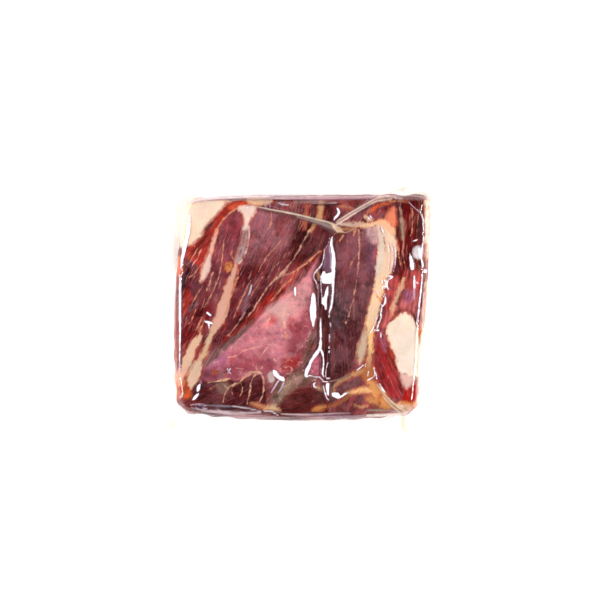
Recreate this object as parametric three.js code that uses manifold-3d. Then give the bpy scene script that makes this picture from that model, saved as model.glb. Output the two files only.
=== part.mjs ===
// A vacuum-packed block of cured Iberian ham, lying on its back with the cut front face up.
//
// The block is a squared-off boneless piece, cut straight across several muscles. A clear bag is
// shrunk on to it by the vacuum, so bag and block have one outer form and are one solid here: the
// block with its swollen sides, the hollows and swells of the muscles on the front face, the
// pleats that the film draws over them, and the film's own narrow rim with its four corner ears.
//
// Millimetres, +Z up. The origin is the middle of the flat back that the block rests on; +X runs
// to the right of the front face and +Y to its upper edge.

import * as THREE from "three";
import { mergeVertices } from "three/addons/utils/BufferGeometryUtils.js";
import Module from "manifold-3d";

const wasm = await Module();
wasm.setup();

// The block: its thickness, and the four corners of its widest outline, half way up the sides.
const THICKNESS = 55;
const CORNERS = {
  lowerLeft: [-74.5, -63.5],
  lowerRight: [69, -64.5],
  upperRight: [76, 66.5],
  upperLeft: [-69.5, 64.5],
};
const SWELL = { left: 4, right: 2, upper: 0.6, lower: 4.5 }; // how far each side bows out
const HALF_WIDTH = 73;
const HALF_HEIGHT = 64;
const CORNER_SHARPNESS = 14;

// Share by which each corner is rounded in towards the middle. The upper right one is the squarest.
const CORNER_PULL = { lowerLeft: 0.036, lowerRight: 0.032, upperRight: 0.01, upperLeft: 0.028 };

// The side wall from the front face's edge down to the back: how far in from the widest outline,
// and how high as a share of the thickness.
const WALL = [
  { inset: 6.4, height: 1 },
  { inset: 3.6, height: 0.97 },
  { inset: 1.8, height: 0.89 },
  { inset: 0.4, height: 0.72 },
  { inset: 0, height: 0.5 },
  { inset: 0.7, height: 0.24 },
  { inset: 2.8, height: 0.07 },
  { inset: 7, height: 0 },
];

// The meshes' fineness.
const COLUMNS = 50;
const ROWS = 44;
const RIM_STEPS = 104;

// The front face falls away gently towards its edge.
const EDGE_FALL = 1.6;
const EDGE_FALL_SHARPNESS = 7;

// Swells of the muscles on the front face: middle, half sizes, turn in degrees, and height.
const SWELLS = [
  { at: [-34, 22], half: [30, 46], turn: -28, height: 1.6 }, // large upper muscle
  { at: [-14, -14], half: [20, 40], turn: -48, height: 2.2 }, // pale inner muscle
  { at: [29, 4], half: [11, 44], turn: 4, height: 1.5 }, // dark middle muscle
  { at: [62, 34], half: [9, 30], turn: 0, height: 1.2 }, // upper right muscle
  { at: [49, -34], half: [7, 24], turn: 18, height: 1.1 }, // lower right muscle
  { at: [58, -22], half: [8, 20], turn: 6, height: 1 }, // white fat
  { at: [-40, -51], half: [22, 8], turn: -6, height: 1.2 }, // lower left muscle
  { at: [0, -55], half: [14, 7], turn: 4, height: 1.1 }, // lower middle muscle
];

// Hollows, where the film sinks between two muscles or bridges them: a line on the front face,
// half its width, and its depth.
const HOLLOWS = [
  // Channel left of the dark muscle.
  {
    line: [[19, 44], [14, 32], [12, 16], [13, 0], [13, -16], [13, -30], [14, -42], [15, -54]],
    half: 4.6,
    depth: 3.4,
  },
  // Seam under the large muscle.
  {
    line: [[14, 36], [2, 22], [-12, 6], [-28, -8], [-42, -20], [-54, -30], [-61, -44]],
    half: 4,
    depth: 1.7,
  },
  // Seam right of the dark muscle.
  {
    line: [[24, 45], [40, 46], [47, 36], [46, 18], [44, 2], [41, -14], [38, -28], [39, -40], [50, -58]],
    half: 3.6,
    depth: 1.5,
  },
  // Seam under the pale muscle.
  {
    line: [[-57, -42], [-44, -44], [-32, -40], [-20, -41], [-8, -42], [4, -44], [18, -45], [32, -39]],
    half: 3.2,
    depth: 1.5,
  },
  // Seam between the lower muscles.
  {
    line: [[-9, -44], [-16, -54], [-20, -62]],
    half: 3.4,
    depth: 1.4,
  },
];

// Pleats, where slack film stands up in a low ridge: a line, half its width, and its height.
const PLEATS = [
  { line: [[-26, 58], [-8, 53.5], [8, 49.5], [19, 47]], half: 3, height: 1 }, // pleat to the upper left
  { line: [[19, 47], [30, 53], [40, 58.5], [52, 62]], half: 3.4, height: 1.5 }, // pleat to the upper right
  { line: [[36, -37], [42, -43], [50, -54], [60, -63]], half: 3.2, height: 1.2 }, // pleat to the lower right
  { line: [[51, 18], [49, 10], [47, 0], [45, -13]], half: 3, height: 1 }, // crinkle beside the white fat
];

// The film's rim: where the two faces of the bag meet around the block, and the ear that it
// draws out at each corner, with the ear's tip and half its width along the rim.
const RIM = { height: 25, width: 3.2, thickness: 1.3, edge: 0.8, root: 5, waves: 11, wave: 0.9 };
const EARS = [
  { corner: [-1, -1], tip: [-90, -83, 15], half: 0.34 }, // lower left ear
  { corner: [1, -1], tip: [74, -87, 17], half: 0.36 }, // lower right ear
  { corner: [1, 1], tip: [78, 77, 40], half: 0.42 }, // upper right ear
  { corner: [-1, 1], tip: [-94, 88, 20], half: 0.4 }, // upper left ear
];
const EAR_HOLLOW = 2.2; // above 1 the sides of an ear curve in, as drawn film does
const RIM_BANDS = 4;

// The film is gathered into upright folds on the side walls beside each ear.
const GATHER = { reach: 0.3, pitch: 0.105, depth: 0.9 };

const mix = (a, b, t) => a + (b - a) * t;

// The plan of the block: u and v run from -1 to 1 over its face, and inset moves in from the side.
function plan(u, v, inset = 0) {
  const longest = Math.max(Math.abs(u), Math.abs(v), 1e-9);
  const corner = (Math.min(Math.abs(u), Math.abs(v)) / longest) ** CORNER_SHARPNESS;
  const lowerPull = mix(CORNER_PULL.lowerLeft, CORNER_PULL.lowerRight, (u + 1) / 2);
  const upperPull = mix(CORNER_PULL.upperLeft, CORNER_PULL.upperRight, (u + 1) / 2);
  const pull = 1 - mix(lowerPull, upperPull, (v + 1) / 2) * corner * longest;
  const a = u * pull;
  const b = v * pull;
  const right = (a + 1) / 2;
  const upper = (b + 1) / 2;
  const { lowerLeft, lowerRight, upperRight, upperLeft } = CORNERS;
  const x = mix(mix(lowerLeft[0], lowerRight[0], right), mix(upperLeft[0], upperRight[0], right), upper);
  const y = mix(mix(lowerLeft[1], lowerRight[1], right), mix(upperLeft[1], upperRight[1], right), upper);
  const bow = (1 - b * b) * mix(-SWELL.left, SWELL.right, right) * Math.abs(a);
  const rise = (1 - a * a) * mix(-SWELL.lower, SWELL.upper, upper) * Math.abs(b);
  return [(x + bow) * (1 - inset / HALF_WIDTH), (y + rise) * (1 - inset / HALF_HEIGHT)];
}

// How far a point lies from a line of several points.
function distanceToLine(x, y, line) {
  let nearest = Infinity;
  for (let i = 1; i < line.length; i += 1) {
    const [ax, ay] = line[i - 1];
    const [bx, by] = line[i];
    const along = ((x - ax) * (bx - ax) + (y - ay) * (by - ay)) / ((bx - ax) ** 2 + (by - ay) ** 2);
    const t = Math.min(1, Math.max(0, along));
    nearest = Math.min(nearest, Math.hypot(x - mix(ax, bx, t), y - mix(ay, by, t)));
  }
  return nearest;
}

// A bell that is 1 in the middle and falls smoothly to nothing.
const bell = (distance, half) => Math.exp(-((distance / half) ** 2));

// The height of the front face.
function frontHeight(x, y, u, v) {
  let z = THICKNESS - EDGE_FALL * Math.max(Math.abs(u), Math.abs(v)) ** EDGE_FALL_SHARPNESS;
  for (const { at, half, turn, height } of SWELLS) {
    const angle = THREE.MathUtils.degToRad(turn);
    const dx = x - at[0];
    const dy = y - at[1];
    const across = (dx * Math.cos(angle) + dy * Math.sin(angle)) / half[0];
    const along = (dy * Math.cos(angle) - dx * Math.sin(angle)) / half[1];
    z += height * bell(Math.hypot(across, along), 1);
  }
  for (const { line, half, depth } of HOLLOWS) z -= depth * bell(distanceToLine(x, y, line), half);
  for (const { line, half, height } of PLEATS) z += height * bell(distanceToLine(x, y, line), half);
  return z;
}

// A walk once round the edge of the face, anticlockwise from the lower left corner: the place
// on the edge for a share of the way, which is u and v with one of them at -1 or 1.
function edgePlace(share) {
  const side = Math.floor(share * 4) % 4;
  const t = ((share * 4) % 1) * 2 - 1;
  return [[t, -1], [1, t], [-t, 1], [-1, -t]][side];
}

// How near a place on the edge is to a corner: 0 at the corner, 1 at the far end of the side.
function fromCorner([u, v], [cu, cv]) {
  return u === cu || v === cv ? Math.max(Math.abs(u - cu), Math.abs(v - cv)) / 2 : 1;
}

// The small in and out of the gathered film, strongest beside the ears.
function gather(u, v) {
  const near = Math.min(...EARS.map((ear) => fromCorner([u, v], ear.corner)));
  return GATHER.depth * bell(near, GATHER.reach) * Math.cos((2 * Math.PI * near) / GATHER.pitch);
}

function solidFrom(positions, triangles) {
  const geometry = new THREE.BufferGeometry();
  geometry.setAttribute("position", new THREE.Float32BufferAttribute(positions, 3));
  geometry.setIndex(triangles);
  const merged = mergeVertices(geometry, 1e-4);
  return new wasm.Manifold(
    new wasm.Mesh({
      numProp: 3,
      vertProperties: merged.attributes.position.array,
      triVerts: new Uint32Array(merged.index.array),
    }),
  );
}

// The block in its film: a grid for the front face, rings for the side wall, and a flat back.
function makeBlock() {
  const positions = [];
  const triangles = [];
  const gridIndex = (i, j) => j * (COLUMNS + 1) + i;
  for (let j = 0; j <= ROWS; j += 1) {
    for (let i = 0; i <= COLUMNS; i += 1) {
      const u = (2 * i) / COLUMNS - 1;
      const v = (2 * j) / ROWS - 1;
      const [x, y] = plan(u, v, WALL[0].inset);
      positions.push(x, y, frontHeight(x, y, u, v));
    }
  }
  for (let j = 0; j < ROWS; j += 1) {
    for (let i = 0; i < COLUMNS; i += 1) {
      const [a, b] = [gridIndex(i, j), gridIndex(i + 1, j)];
      const [c, d] = [gridIndex(i + 1, j + 1), gridIndex(i, j + 1)];
      triangles.push(a, b, c, a, c, d);
    }
  }

  const edge = [];
  for (let i = 0; i < COLUMNS; i += 1) edge.push([i, 0]);
  for (let j = 0; j < ROWS; j += 1) edge.push([COLUMNS, j]);
  for (let i = COLUMNS; i > 0; i -= 1) edge.push([i, ROWS]);
  for (let j = ROWS; j > 0; j -= 1) edge.push([0, j]);

  let above = edge.map(([i, j]) => gridIndex(i, j));
  for (const { inset, height } of WALL.slice(1)) {
    const ring = edge.map(([i, j]) => {
      const u = (2 * i) / COLUMNS - 1;
      const v = (2 * j) / ROWS - 1;
      const folds = gather(u, v) * Math.sin(Math.PI * height);
      const [x, y] = plan(u, v, inset + folds);
      const top = positions[3 * gridIndex(i, j) + 2];
      positions.push(x, y, top * height);
      return positions.length / 3 - 1;
    });
    ring.forEach((current, k) => {
      const next = (k + 1) % ring.length;
      triangles.push(current, ring[next], above[next], current, above[next], above[k]);
    });
    above = ring;
  }

  const middle = positions.length / 3;
  positions.push(0, 0, 0);
  above.forEach((current, k) => triangles.push(middle, above[(k + 1) % above.length], current));
  return solidFrom(positions, triangles);
}

// The rim and ears of the bag: a thin wavy band whose root lies inside the block.
function makeRim() {
  const positions = [];
  const triangles = [];
  const perStep = 2 * (RIM_BANDS + 1);
  for (let step = 0; step < RIM_STEPS; step += 1) {
    const share = step / RIM_STEPS;
    const [u, v] = edgePlace(share);
    const root = plan(u, v, RIM.root);
    let outer = plan(u, v, -RIM.width);
    let height = RIM.height + RIM.wave * Math.sin(2 * Math.PI * RIM.waves * share);
    for (const { corner, tip, half } of EARS) {
      const near = Math.max(0, 1 - fromCorner([u, v], corner) / half);
      const drawn = near ** EAR_HOLLOW;
      outer = [mix(outer[0], tip[0], drawn), mix(outer[1], tip[1], drawn)];
      height = mix(height, tip[2], drawn);
    }
    for (let band = 0; band <= RIM_BANDS; band += 1) {
      const out = band / RIM_BANDS;
      const half = mix(RIM.thickness, RIM.edge, out) / 2;
      const z = mix(RIM.height, height, out);
      const x = mix(root[0], outer[0], out);
      const y = mix(root[1], outer[1], out);
      positions.push(x, y, z + half, x, y, z - half);
    }
  }
  const at = (step, band, lower) => (step % RIM_STEPS) * perStep + 2 * band + lower;
  for (let step = 0; step < RIM_STEPS; step += 1) {
    for (let band = 0; band < RIM_BANDS; band += 1) {
      const [a, b] = [at(step, band, 0), at(step, band + 1, 0)];
      const [c, d] = [at(step + 1, band + 1, 0), at(step + 1, band, 0)];
      triangles.push(a, b, c, a, c, d);
      triangles.push(a + 1, c + 1, b + 1, a + 1, d + 1, c + 1);
    }
    const [inner, innerNext] = [at(step, 0, 0), at(step + 1, 0, 0)];
    triangles.push(inner, innerNext, innerNext + 1, inner, innerNext + 1, inner + 1);
    const [tip, tipNext] = [at(step, RIM_BANDS, 0), at(step + 1, RIM_BANDS, 0)];
    triangles.push(tip, tipNext + 1, tipNext, tip, tip + 1, tipNext + 1);
  }
  return solidFrom(positions, triangles);
}

function geometryOf(solid) {
  const { numProp, numVert, vertProperties, triVerts } = solid.getMesh();
  const positions = new Float32Array(numVert * 3);
  for (let i = 0; i < numVert; i += 1) {
    positions.set(vertProperties.subarray(i * numProp, i * numProp + 3), i * 3);
  }
  const geometry = new THREE.BufferGeometry();
  geometry.setAttribute("position", new THREE.BufferAttribute(positions, 3));
  geometry.setIndex(new THREE.BufferAttribute(triVerts, 1));
  geometry.computeVertexNormals();
  return geometry;
}

const curedHam = new THREE.MeshStandardMaterial({ color: 0x7a2a2e, roughness: 0.22, metalness: 0 });

const pack = new THREE.Mesh(geometryOf(makeBlock().add(makeRim())), curedHam);
pack.name = "vacuum_pack";

const ham = new THREE.Group();
ham.add(pack);

export default ham;
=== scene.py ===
# A squared block of cured Iberian ham in a clear vacuum bag, lying on its back with the cut face up,
# seen from straight above. Places on the face are in millimetres from its middle, X to the right and
# Y to the upper edge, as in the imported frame; everything becomes metres when it reaches a mesh.

import math

import bpy
import numpy as np
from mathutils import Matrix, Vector, noise
from mathutils.bvhtree import BVHTree


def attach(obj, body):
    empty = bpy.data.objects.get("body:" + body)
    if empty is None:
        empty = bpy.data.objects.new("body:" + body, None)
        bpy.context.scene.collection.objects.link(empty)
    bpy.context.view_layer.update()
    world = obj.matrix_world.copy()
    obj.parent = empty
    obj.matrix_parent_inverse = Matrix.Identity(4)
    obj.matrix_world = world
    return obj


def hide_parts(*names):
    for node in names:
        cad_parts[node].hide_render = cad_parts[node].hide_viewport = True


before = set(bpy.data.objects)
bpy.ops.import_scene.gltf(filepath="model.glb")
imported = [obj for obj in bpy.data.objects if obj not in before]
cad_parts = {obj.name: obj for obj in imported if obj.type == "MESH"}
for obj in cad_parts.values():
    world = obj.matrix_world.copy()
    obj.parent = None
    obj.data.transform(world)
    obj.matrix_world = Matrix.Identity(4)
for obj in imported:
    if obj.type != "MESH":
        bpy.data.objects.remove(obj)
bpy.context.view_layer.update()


# THE BLOCK'S FORM
# The ham is cured meat squared off with a knife, and the vacuum moulds it to its bag. Its skin is a
# fine net of faces drawn out of a core on to the pack's solid, with the bag's own rim passed by.

MM = 0.001
COLUMNS = 250          # fine faces across the cut face
ROWS = 224             # and up it
ROUNDING_RINGS = 10    # rings of faces round the upper edge
WALL_RINGS = 12        # down the side wall
BACK_RINGS = 4         # and round the lower edge
CORE = 0.88            # the core that the skin is drawn out of, as a share of the block's plan
CORE_TOP = 47
CORE_FOOT = 7
OUTLINE_HEIGHT = 40    # the core takes the block's outline at this height
CORE_STEPS = 160       # places along each side of the core's outline
LAST_SHARE = 0.99999   # a side's last place stays just short of the next side
RIM_BAND = (21, 31)    # heights between which the bag's rim hides the side wall
CORNER_REACH = 0.011   # share of the way round over which the skin fans out at a corner
PLAN_HALF = (73, 65)   # about half the block's width and height
SMOOTHING = (0.5, 12)  # how strongly the drawn skin is smoothed, and how often
BACK_HEIGHT = 1        # skin below this height that faces down this squarely is the flat back
FACING_DOWN = -0.99
BACK_FINENESS = 0.1    # which needs only this share of the cut face's faces
SLACK = 0.12           # the film stands this far off the block's true skin, and the ham lies as far in

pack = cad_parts["vacuum_pack"]
pack_tree = BVHTree.FromPolygons(
    [vertex.co / MM for vertex in pack.data.vertices],
    [polygon.vertices for polygon in pack.data.polygons],
)


def reach(start, direction):
    """The place where a line from inside the pack leaves it, in millimetres."""
    hit = pack_tree.ray_cast(Vector(start), Vector(direction).normalized())[0]
    return np.array(hit)


def rim_free(start, direction):
    """The same for a level line, which passes the bag's rim by as if it weren't there."""
    low, high = RIM_BAND
    x, y, z = start
    if not low < z < high:
        return reach(start, direction)
    below = reach((x, y, low), direction)
    above = reach((x, y, high), direction)
    return below + (above - below) * (z - low) / (high - low)


def square_edge(share):
    """A walk round the edge of the square from -1 to 1, anticlockwise from its lower left corner."""
    side, t = divmod((share % 1) * 4, 1)
    t = 2 * t - 1
    return [(t, -1), (1, t), (-t, 1), (-1, -t)][int(side) % 4]


def edge_share(u, v):
    """How far round that walk a place on the square's edge is."""
    if v == -1:
        return (u + 1) / 8
    if u == 1:
        return 0.25 + (v + 1) / 8
    if v == 1:
        return 0.5 + (1 - u) / 8
    return 0.75 + (1 - v) / 8


def core_edge(share):
    """The core's outline, which follows the block's own."""
    u, v = square_edge(share)
    return reach((0, 0, OUTLINE_HEIGHT), (u * PLAN_HALF[0], v * PLAN_HALF[1], 0))[:2] * CORE


def outward(share):
    """The way out of the core's outline, fanned out smoothly at the corners."""
    step = core_edge(share + CORNER_REACH) - core_edge(share - CORNER_REACH)
    return np.array([step[1], -step[0]]) / math.hypot(*step)


bpy.ops.object.select_all(action="DESELECT")
bpy.ops.mesh.primitive_grid_add(
    x_subdivisions=COLUMNS, y_subdivisions=ROWS, size=2, location=(0, 0, 1), enter_editmode=True
)
RINGS = ROUNDING_RINGS + WALL_RINGS + BACK_RINGS
bpy.ops.mesh.duplicate_move(TRANSFORM_OT_translate={"value": (0, 0, -2)})
bpy.ops.mesh.flip_normals()
bpy.ops.mesh.select_all(action="INVERT")
bpy.ops.mesh.region_to_loop()
for ring in range(RINGS):
    bpy.ops.mesh.extrude_edges_move(TRANSFORM_OT_translate={"value": (0, 0, -2 / RINGS)})
bpy.ops.mesh.select_all(action="SELECT")
bpy.ops.mesh.remove_doubles(threshold=0.001)
bpy.ops.mesh.normals_make_consistent(inside=False)
bpy.ops.object.mode_set(mode="OBJECT")
ham = bpy.context.object
ham.name = "ham"

cage = np.array([(ham.matrix_world @ vertex.co)[:] for vertex in ham.data.vertices]).round(6)
ham.location = (0, 0, 0)

walk_steps = range(CORE_STEPS + 1)
walks = [
    np.array([core_edge((side + min(step / CORE_STEPS, LAST_SHARE)) / 4) for step in walk_steps])
    for side in range(4)
]


def on_side(side, t):
    """Places on one side of the core's outline, for shares of the way along it."""
    walk = walks[side]
    return np.stack([np.interp(t * CORE_STEPS, walk_steps, walk[:, axis]) for axis in (0, 1)], 1)


right = (cage[:, 0] + 1) / 2
up = (cage[:, 1] + 1) / 2
s, t = right[:, None], up[:, None]
core = (1 - t) * on_side(0, right) + t * on_side(2, 1 - right)
core += (1 - s) * on_side(3, 1 - up) + s * on_side(1, up)
core -= (1 - s) * (1 - t) * walks[0][0] + s * (1 - t) * walks[1][0]
core -= s * t * walks[2][0] + (1 - s) * t * walks[3][0]

ways_out = {}
skin = np.empty((len(cage), 3))
for index, (u, v, level) in enumerate(cage):
    x, y = core[index]
    if abs(level) == 1:
        skin[index] = reach((x, y, CORE_TOP if level > 0 else CORE_FOOT), (0, 0, level))
        continue
    share = edge_share(u, v)
    if share not in ways_out:
        ways_out[share] = outward(share)
    way = ways_out[share]
    ring = (1 - level) / 2 * RINGS
    if ring < ROUNDING_RINGS:
        tilt = math.pi / 2 * ring / ROUNDING_RINGS
        skin[index] = reach((x, y, CORE_TOP), (*(way * math.sin(tilt)), math.cos(tilt)))
    elif ring > ROUNDING_RINGS + WALL_RINGS:
        tilt = math.pi / 2 * (RINGS - ring) / BACK_RINGS
        skin[index] = reach((x, y, CORE_FOOT), (*(way * math.sin(tilt)), -math.cos(tilt)))
    else:
        down = (ring - ROUNDING_RINGS) / WALL_RINGS
        height = CORE_TOP + (CORE_FOOT - CORE_TOP) * down
        skin[index] = rim_free((x, y, height), (*way, 0))
ham.data.vertices.foreach_set("co", (skin * MM).ravel())
ham.data.update()

bpy.ops.object.modifier_add(type="SMOOTH")
ham.modifiers[-1].factor = SMOOTHING[0]
ham.modifiers[-1].iterations = SMOOTHING[1]
bpy.ops.object.modifier_apply(modifier=ham.modifiers[-1].name)
bpy.ops.object.shade_smooth()


def places_of(piece):
    """A piece's mesh places in millimetres."""
    places = np.empty(len(piece.data.vertices) * 3)
    piece.data.vertices.foreach_get("co", places)
    return places.reshape(-1, 3) / MM


def move_to(piece, places):
    """Gives a piece's mesh new places, in millimetres."""
    piece.data.vertices.foreach_set("co", (places * MM).ravel())
    piece.data.update()


def ways_of(piece):
    """The way that each place of a piece's skin faces."""
    ways = np.empty(len(piece.data.vertices) * 3)
    piece.data.vertex_normals.foreach_get("vector", ways)
    return ways.reshape(-1, 3)


def move_out(piece, out):
    """Moves a piece's skin out along its own ways, in millimetres, or in where that is negative."""
    move_to(piece, places_of(piece) + ways_of(piece) * np.reshape(out, (-1, 1)))


def choose(piece, chosen):
    """Opens a piece in edit mode with only the chosen places selected."""
    bpy.ops.object.select_all(action="DESELECT")
    piece.select_set(True)
    bpy.context.view_layer.objects.active = piece
    piece.data.polygons.foreach_set("select", np.zeros(len(piece.data.polygons), bool))
    piece.data.edges.foreach_set("select", np.zeros(len(piece.data.edges), bool))
    piece.data.vertices.foreach_set("select", chosen)
    bpy.ops.object.mode_set(mode="EDIT")
    bpy.ops.mesh.select_mode(type="VERT")


def coarsen_back(piece):
    """Leaves only a few broad faces in the flat back, which is as smooth with them."""
    choose(piece, (places_of(piece)[:, 2] < BACK_HEIGHT) & (ways_of(piece)[:, 2] < FACING_DOWN))
    bpy.ops.mesh.decimate(ratio=BACK_FINENESS)
    bpy.ops.object.mode_set(mode="OBJECT")
    bpy.ops.object.shade_smooth()


def skin_part(name, chosen):
    """A copy of the whole skin that keeps only the chosen places."""
    bpy.ops.object.select_all(action="DESELECT")
    ham.select_set(True)
    bpy.context.view_layer.objects.active = ham
    bpy.ops.object.duplicate()
    part = bpy.context.object
    part.name = name
    choose(part, ~chosen)
    bpy.ops.mesh.delete(type="VERT")
    bpy.ops.object.mode_set(mode="OBJECT")
    return part


SEAM_RING = ROUNDING_RINGS + WALL_RINGS // 2    # the bag's two panels meet half-way down the side wall
skin_rings = (1 - cage[:, 2]) / 2 * RINGS
front_panel = skin_part("bag_front", skin_rings < SEAM_RING + 0.5)
back_panel = skin_part("bag_back", skin_rings > SEAM_RING - 0.5)
for piece in (back_panel, ham):
    coarsen_back(piece)
move_out(ham, -SLACK)


# THE CUT FACE
# A block cut across the leg shows several muscles, each with its own tone and run of fibres, parted
# by seams of fat that go from white through peach to tan, and by thin veins. The tissues run on down
# through the block, so the side walls and the back show them too, drifting with the depth.

FACE = 50              # below this height the tissues start to drift
DRIFT = (5, -7)        # how far they have moved at the back
NARROWING = 0.22       # and how much they have spread
WANDER = 3.2           # and how far they wander there
WANDER_SIZE = 26
FRAY = 0.45            # the edges of the tissues are never quite smooth
FRAY_SIZE = 3.2
CURVE_STEP = 1.3       # places on a soft curve are about this far apart
FAR = -9.0             # a depth for places well outside a shape
DEEP = 2               # depths beyond this count alike where neighbouring tones are blended
FAT_BLEND = 0.5        # over which neighbouring fats blend, and veins
VEIN_BLEND = 0.3


def paint(red, green, blue):
    """A tone as read off a screen, from 0 to 255, as the share of light that it gives back."""
    return np.array([((tone / 255 + 0.055) / 1.055) ** 2.4 for tone in (red, green, blue)])


def dye(*tone):
    """The same as a colour for a finish's nodes."""
    return (*paint(*tone), 1)


def tissue_places(places):
    """Where in the cut face's layout each place of a skin belongs."""
    deep = np.clip((FACE - places[:, 2]) / FACE, 0, 1)
    spread = (1 - NARROWING * deep)[:, None]
    flat = places[:, :2] * spread + deep[:, None] * np.array(DRIFT)
    wander = np.array([noise.noise_vector(Vector(place) / WANDER_SIZE)[:2] for place in places])
    fray = np.array([noise.noise_vector(Vector(place) / FRAY_SIZE)[:2] for place in places])
    return flat + wander * (WANDER * deep)[:, None] + fray * FRAY


def soft_curve(places, closed):
    """A soft curve through a few places, as many places a step apart."""
    points = np.array(places, float)
    count = len(points)
    spans = count if closed else count - 1
    dense = []
    for i in range(spans):
        before, start, end, after = (
            points[k % count] if closed else points[min(max(k, 0), count - 1)] for k in range(i - 1, i + 3)
        )
        pieces = max(1, round(float(np.hypot(*(end - start)[:2])) / CURVE_STEP))
        for k in range(pieces):
            t = k / pieces
            dense.append(
                0.5 * (2 * start + (end - before) * t + (2 * before - 5 * start + 4 * end - after) * t ** 2
                       + (3 * start - before - 3 * end + after) * t ** 3)
            )
    dense.append(points[0] if closed else points[-1])
    return np.array(dense)


def nearest(curve, flat, widths):
    """How far inside a broad line each place is, in millimetres; outside counts as negative."""
    best = np.full(len(flat), FAR)
    for (ax, ay), (bx, by), wide_a, wide_b in zip(curve, curve[1:], widths, widths[1:]):
        run = max((bx - ax) ** 2 + (by - ay) ** 2, 1e-9)
        t = np.clip(((flat[:, 0] - ax) * (bx - ax) + (flat[:, 1] - ay) * (by - ay)) / run, 0, 1)
        away = np.hypot(flat[:, 0] - ax - t * (bx - ax), flat[:, 1] - ay - t * (by - ay))
        best = np.maximum(best, (wide_a + t * (wide_b - wide_a)) / 2 - away)
    return best


def depth_in(shape, flat):
    """How deep in a shape each place lies. Places with widths are a line, others an outline."""
    line = len(shape[0]) == 3
    curve = soft_curve(shape, not line)
    widths = np.maximum(curve[:, 2], 0.1) if line else np.zeros(len(curve))
    low = curve[:, :2].min(0) + FAR
    high = curve[:, :2].max(0) - FAR
    near = np.where(((flat > low) & (flat < high)).all(1))[0]
    depth = np.full(len(flat), FAR)
    depth[near] = nearest(curve[:, :2], flat[near], widths)
    if line:
        return depth
    x, y = flat[near, 0], flat[near, 1]
    inside = np.zeros(len(near), bool)
    for (ax, ay), (bx, by) in zip(curve, curve[1:]):
        if ay != by:
            inside ^= ((ay > y) != (by > y)) & (x < ax + (bx - ax) * (y - ay) / (by - ay))
    depth[near] = np.where(inside, -depth[near], depth[near])
    return depth


def ease(value):
    """A smooth rise from 0 to 1."""
    value = np.clip(value, 0, 1)
    return value * value * (3 - 2 * value)


def cover_of(shape, flat, soft):
    """How far a shape covers each place, with an edge that is soft over so many millimetres."""
    return ease(depth_in(shape, flat) / (2 * soft) + 0.5)


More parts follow.
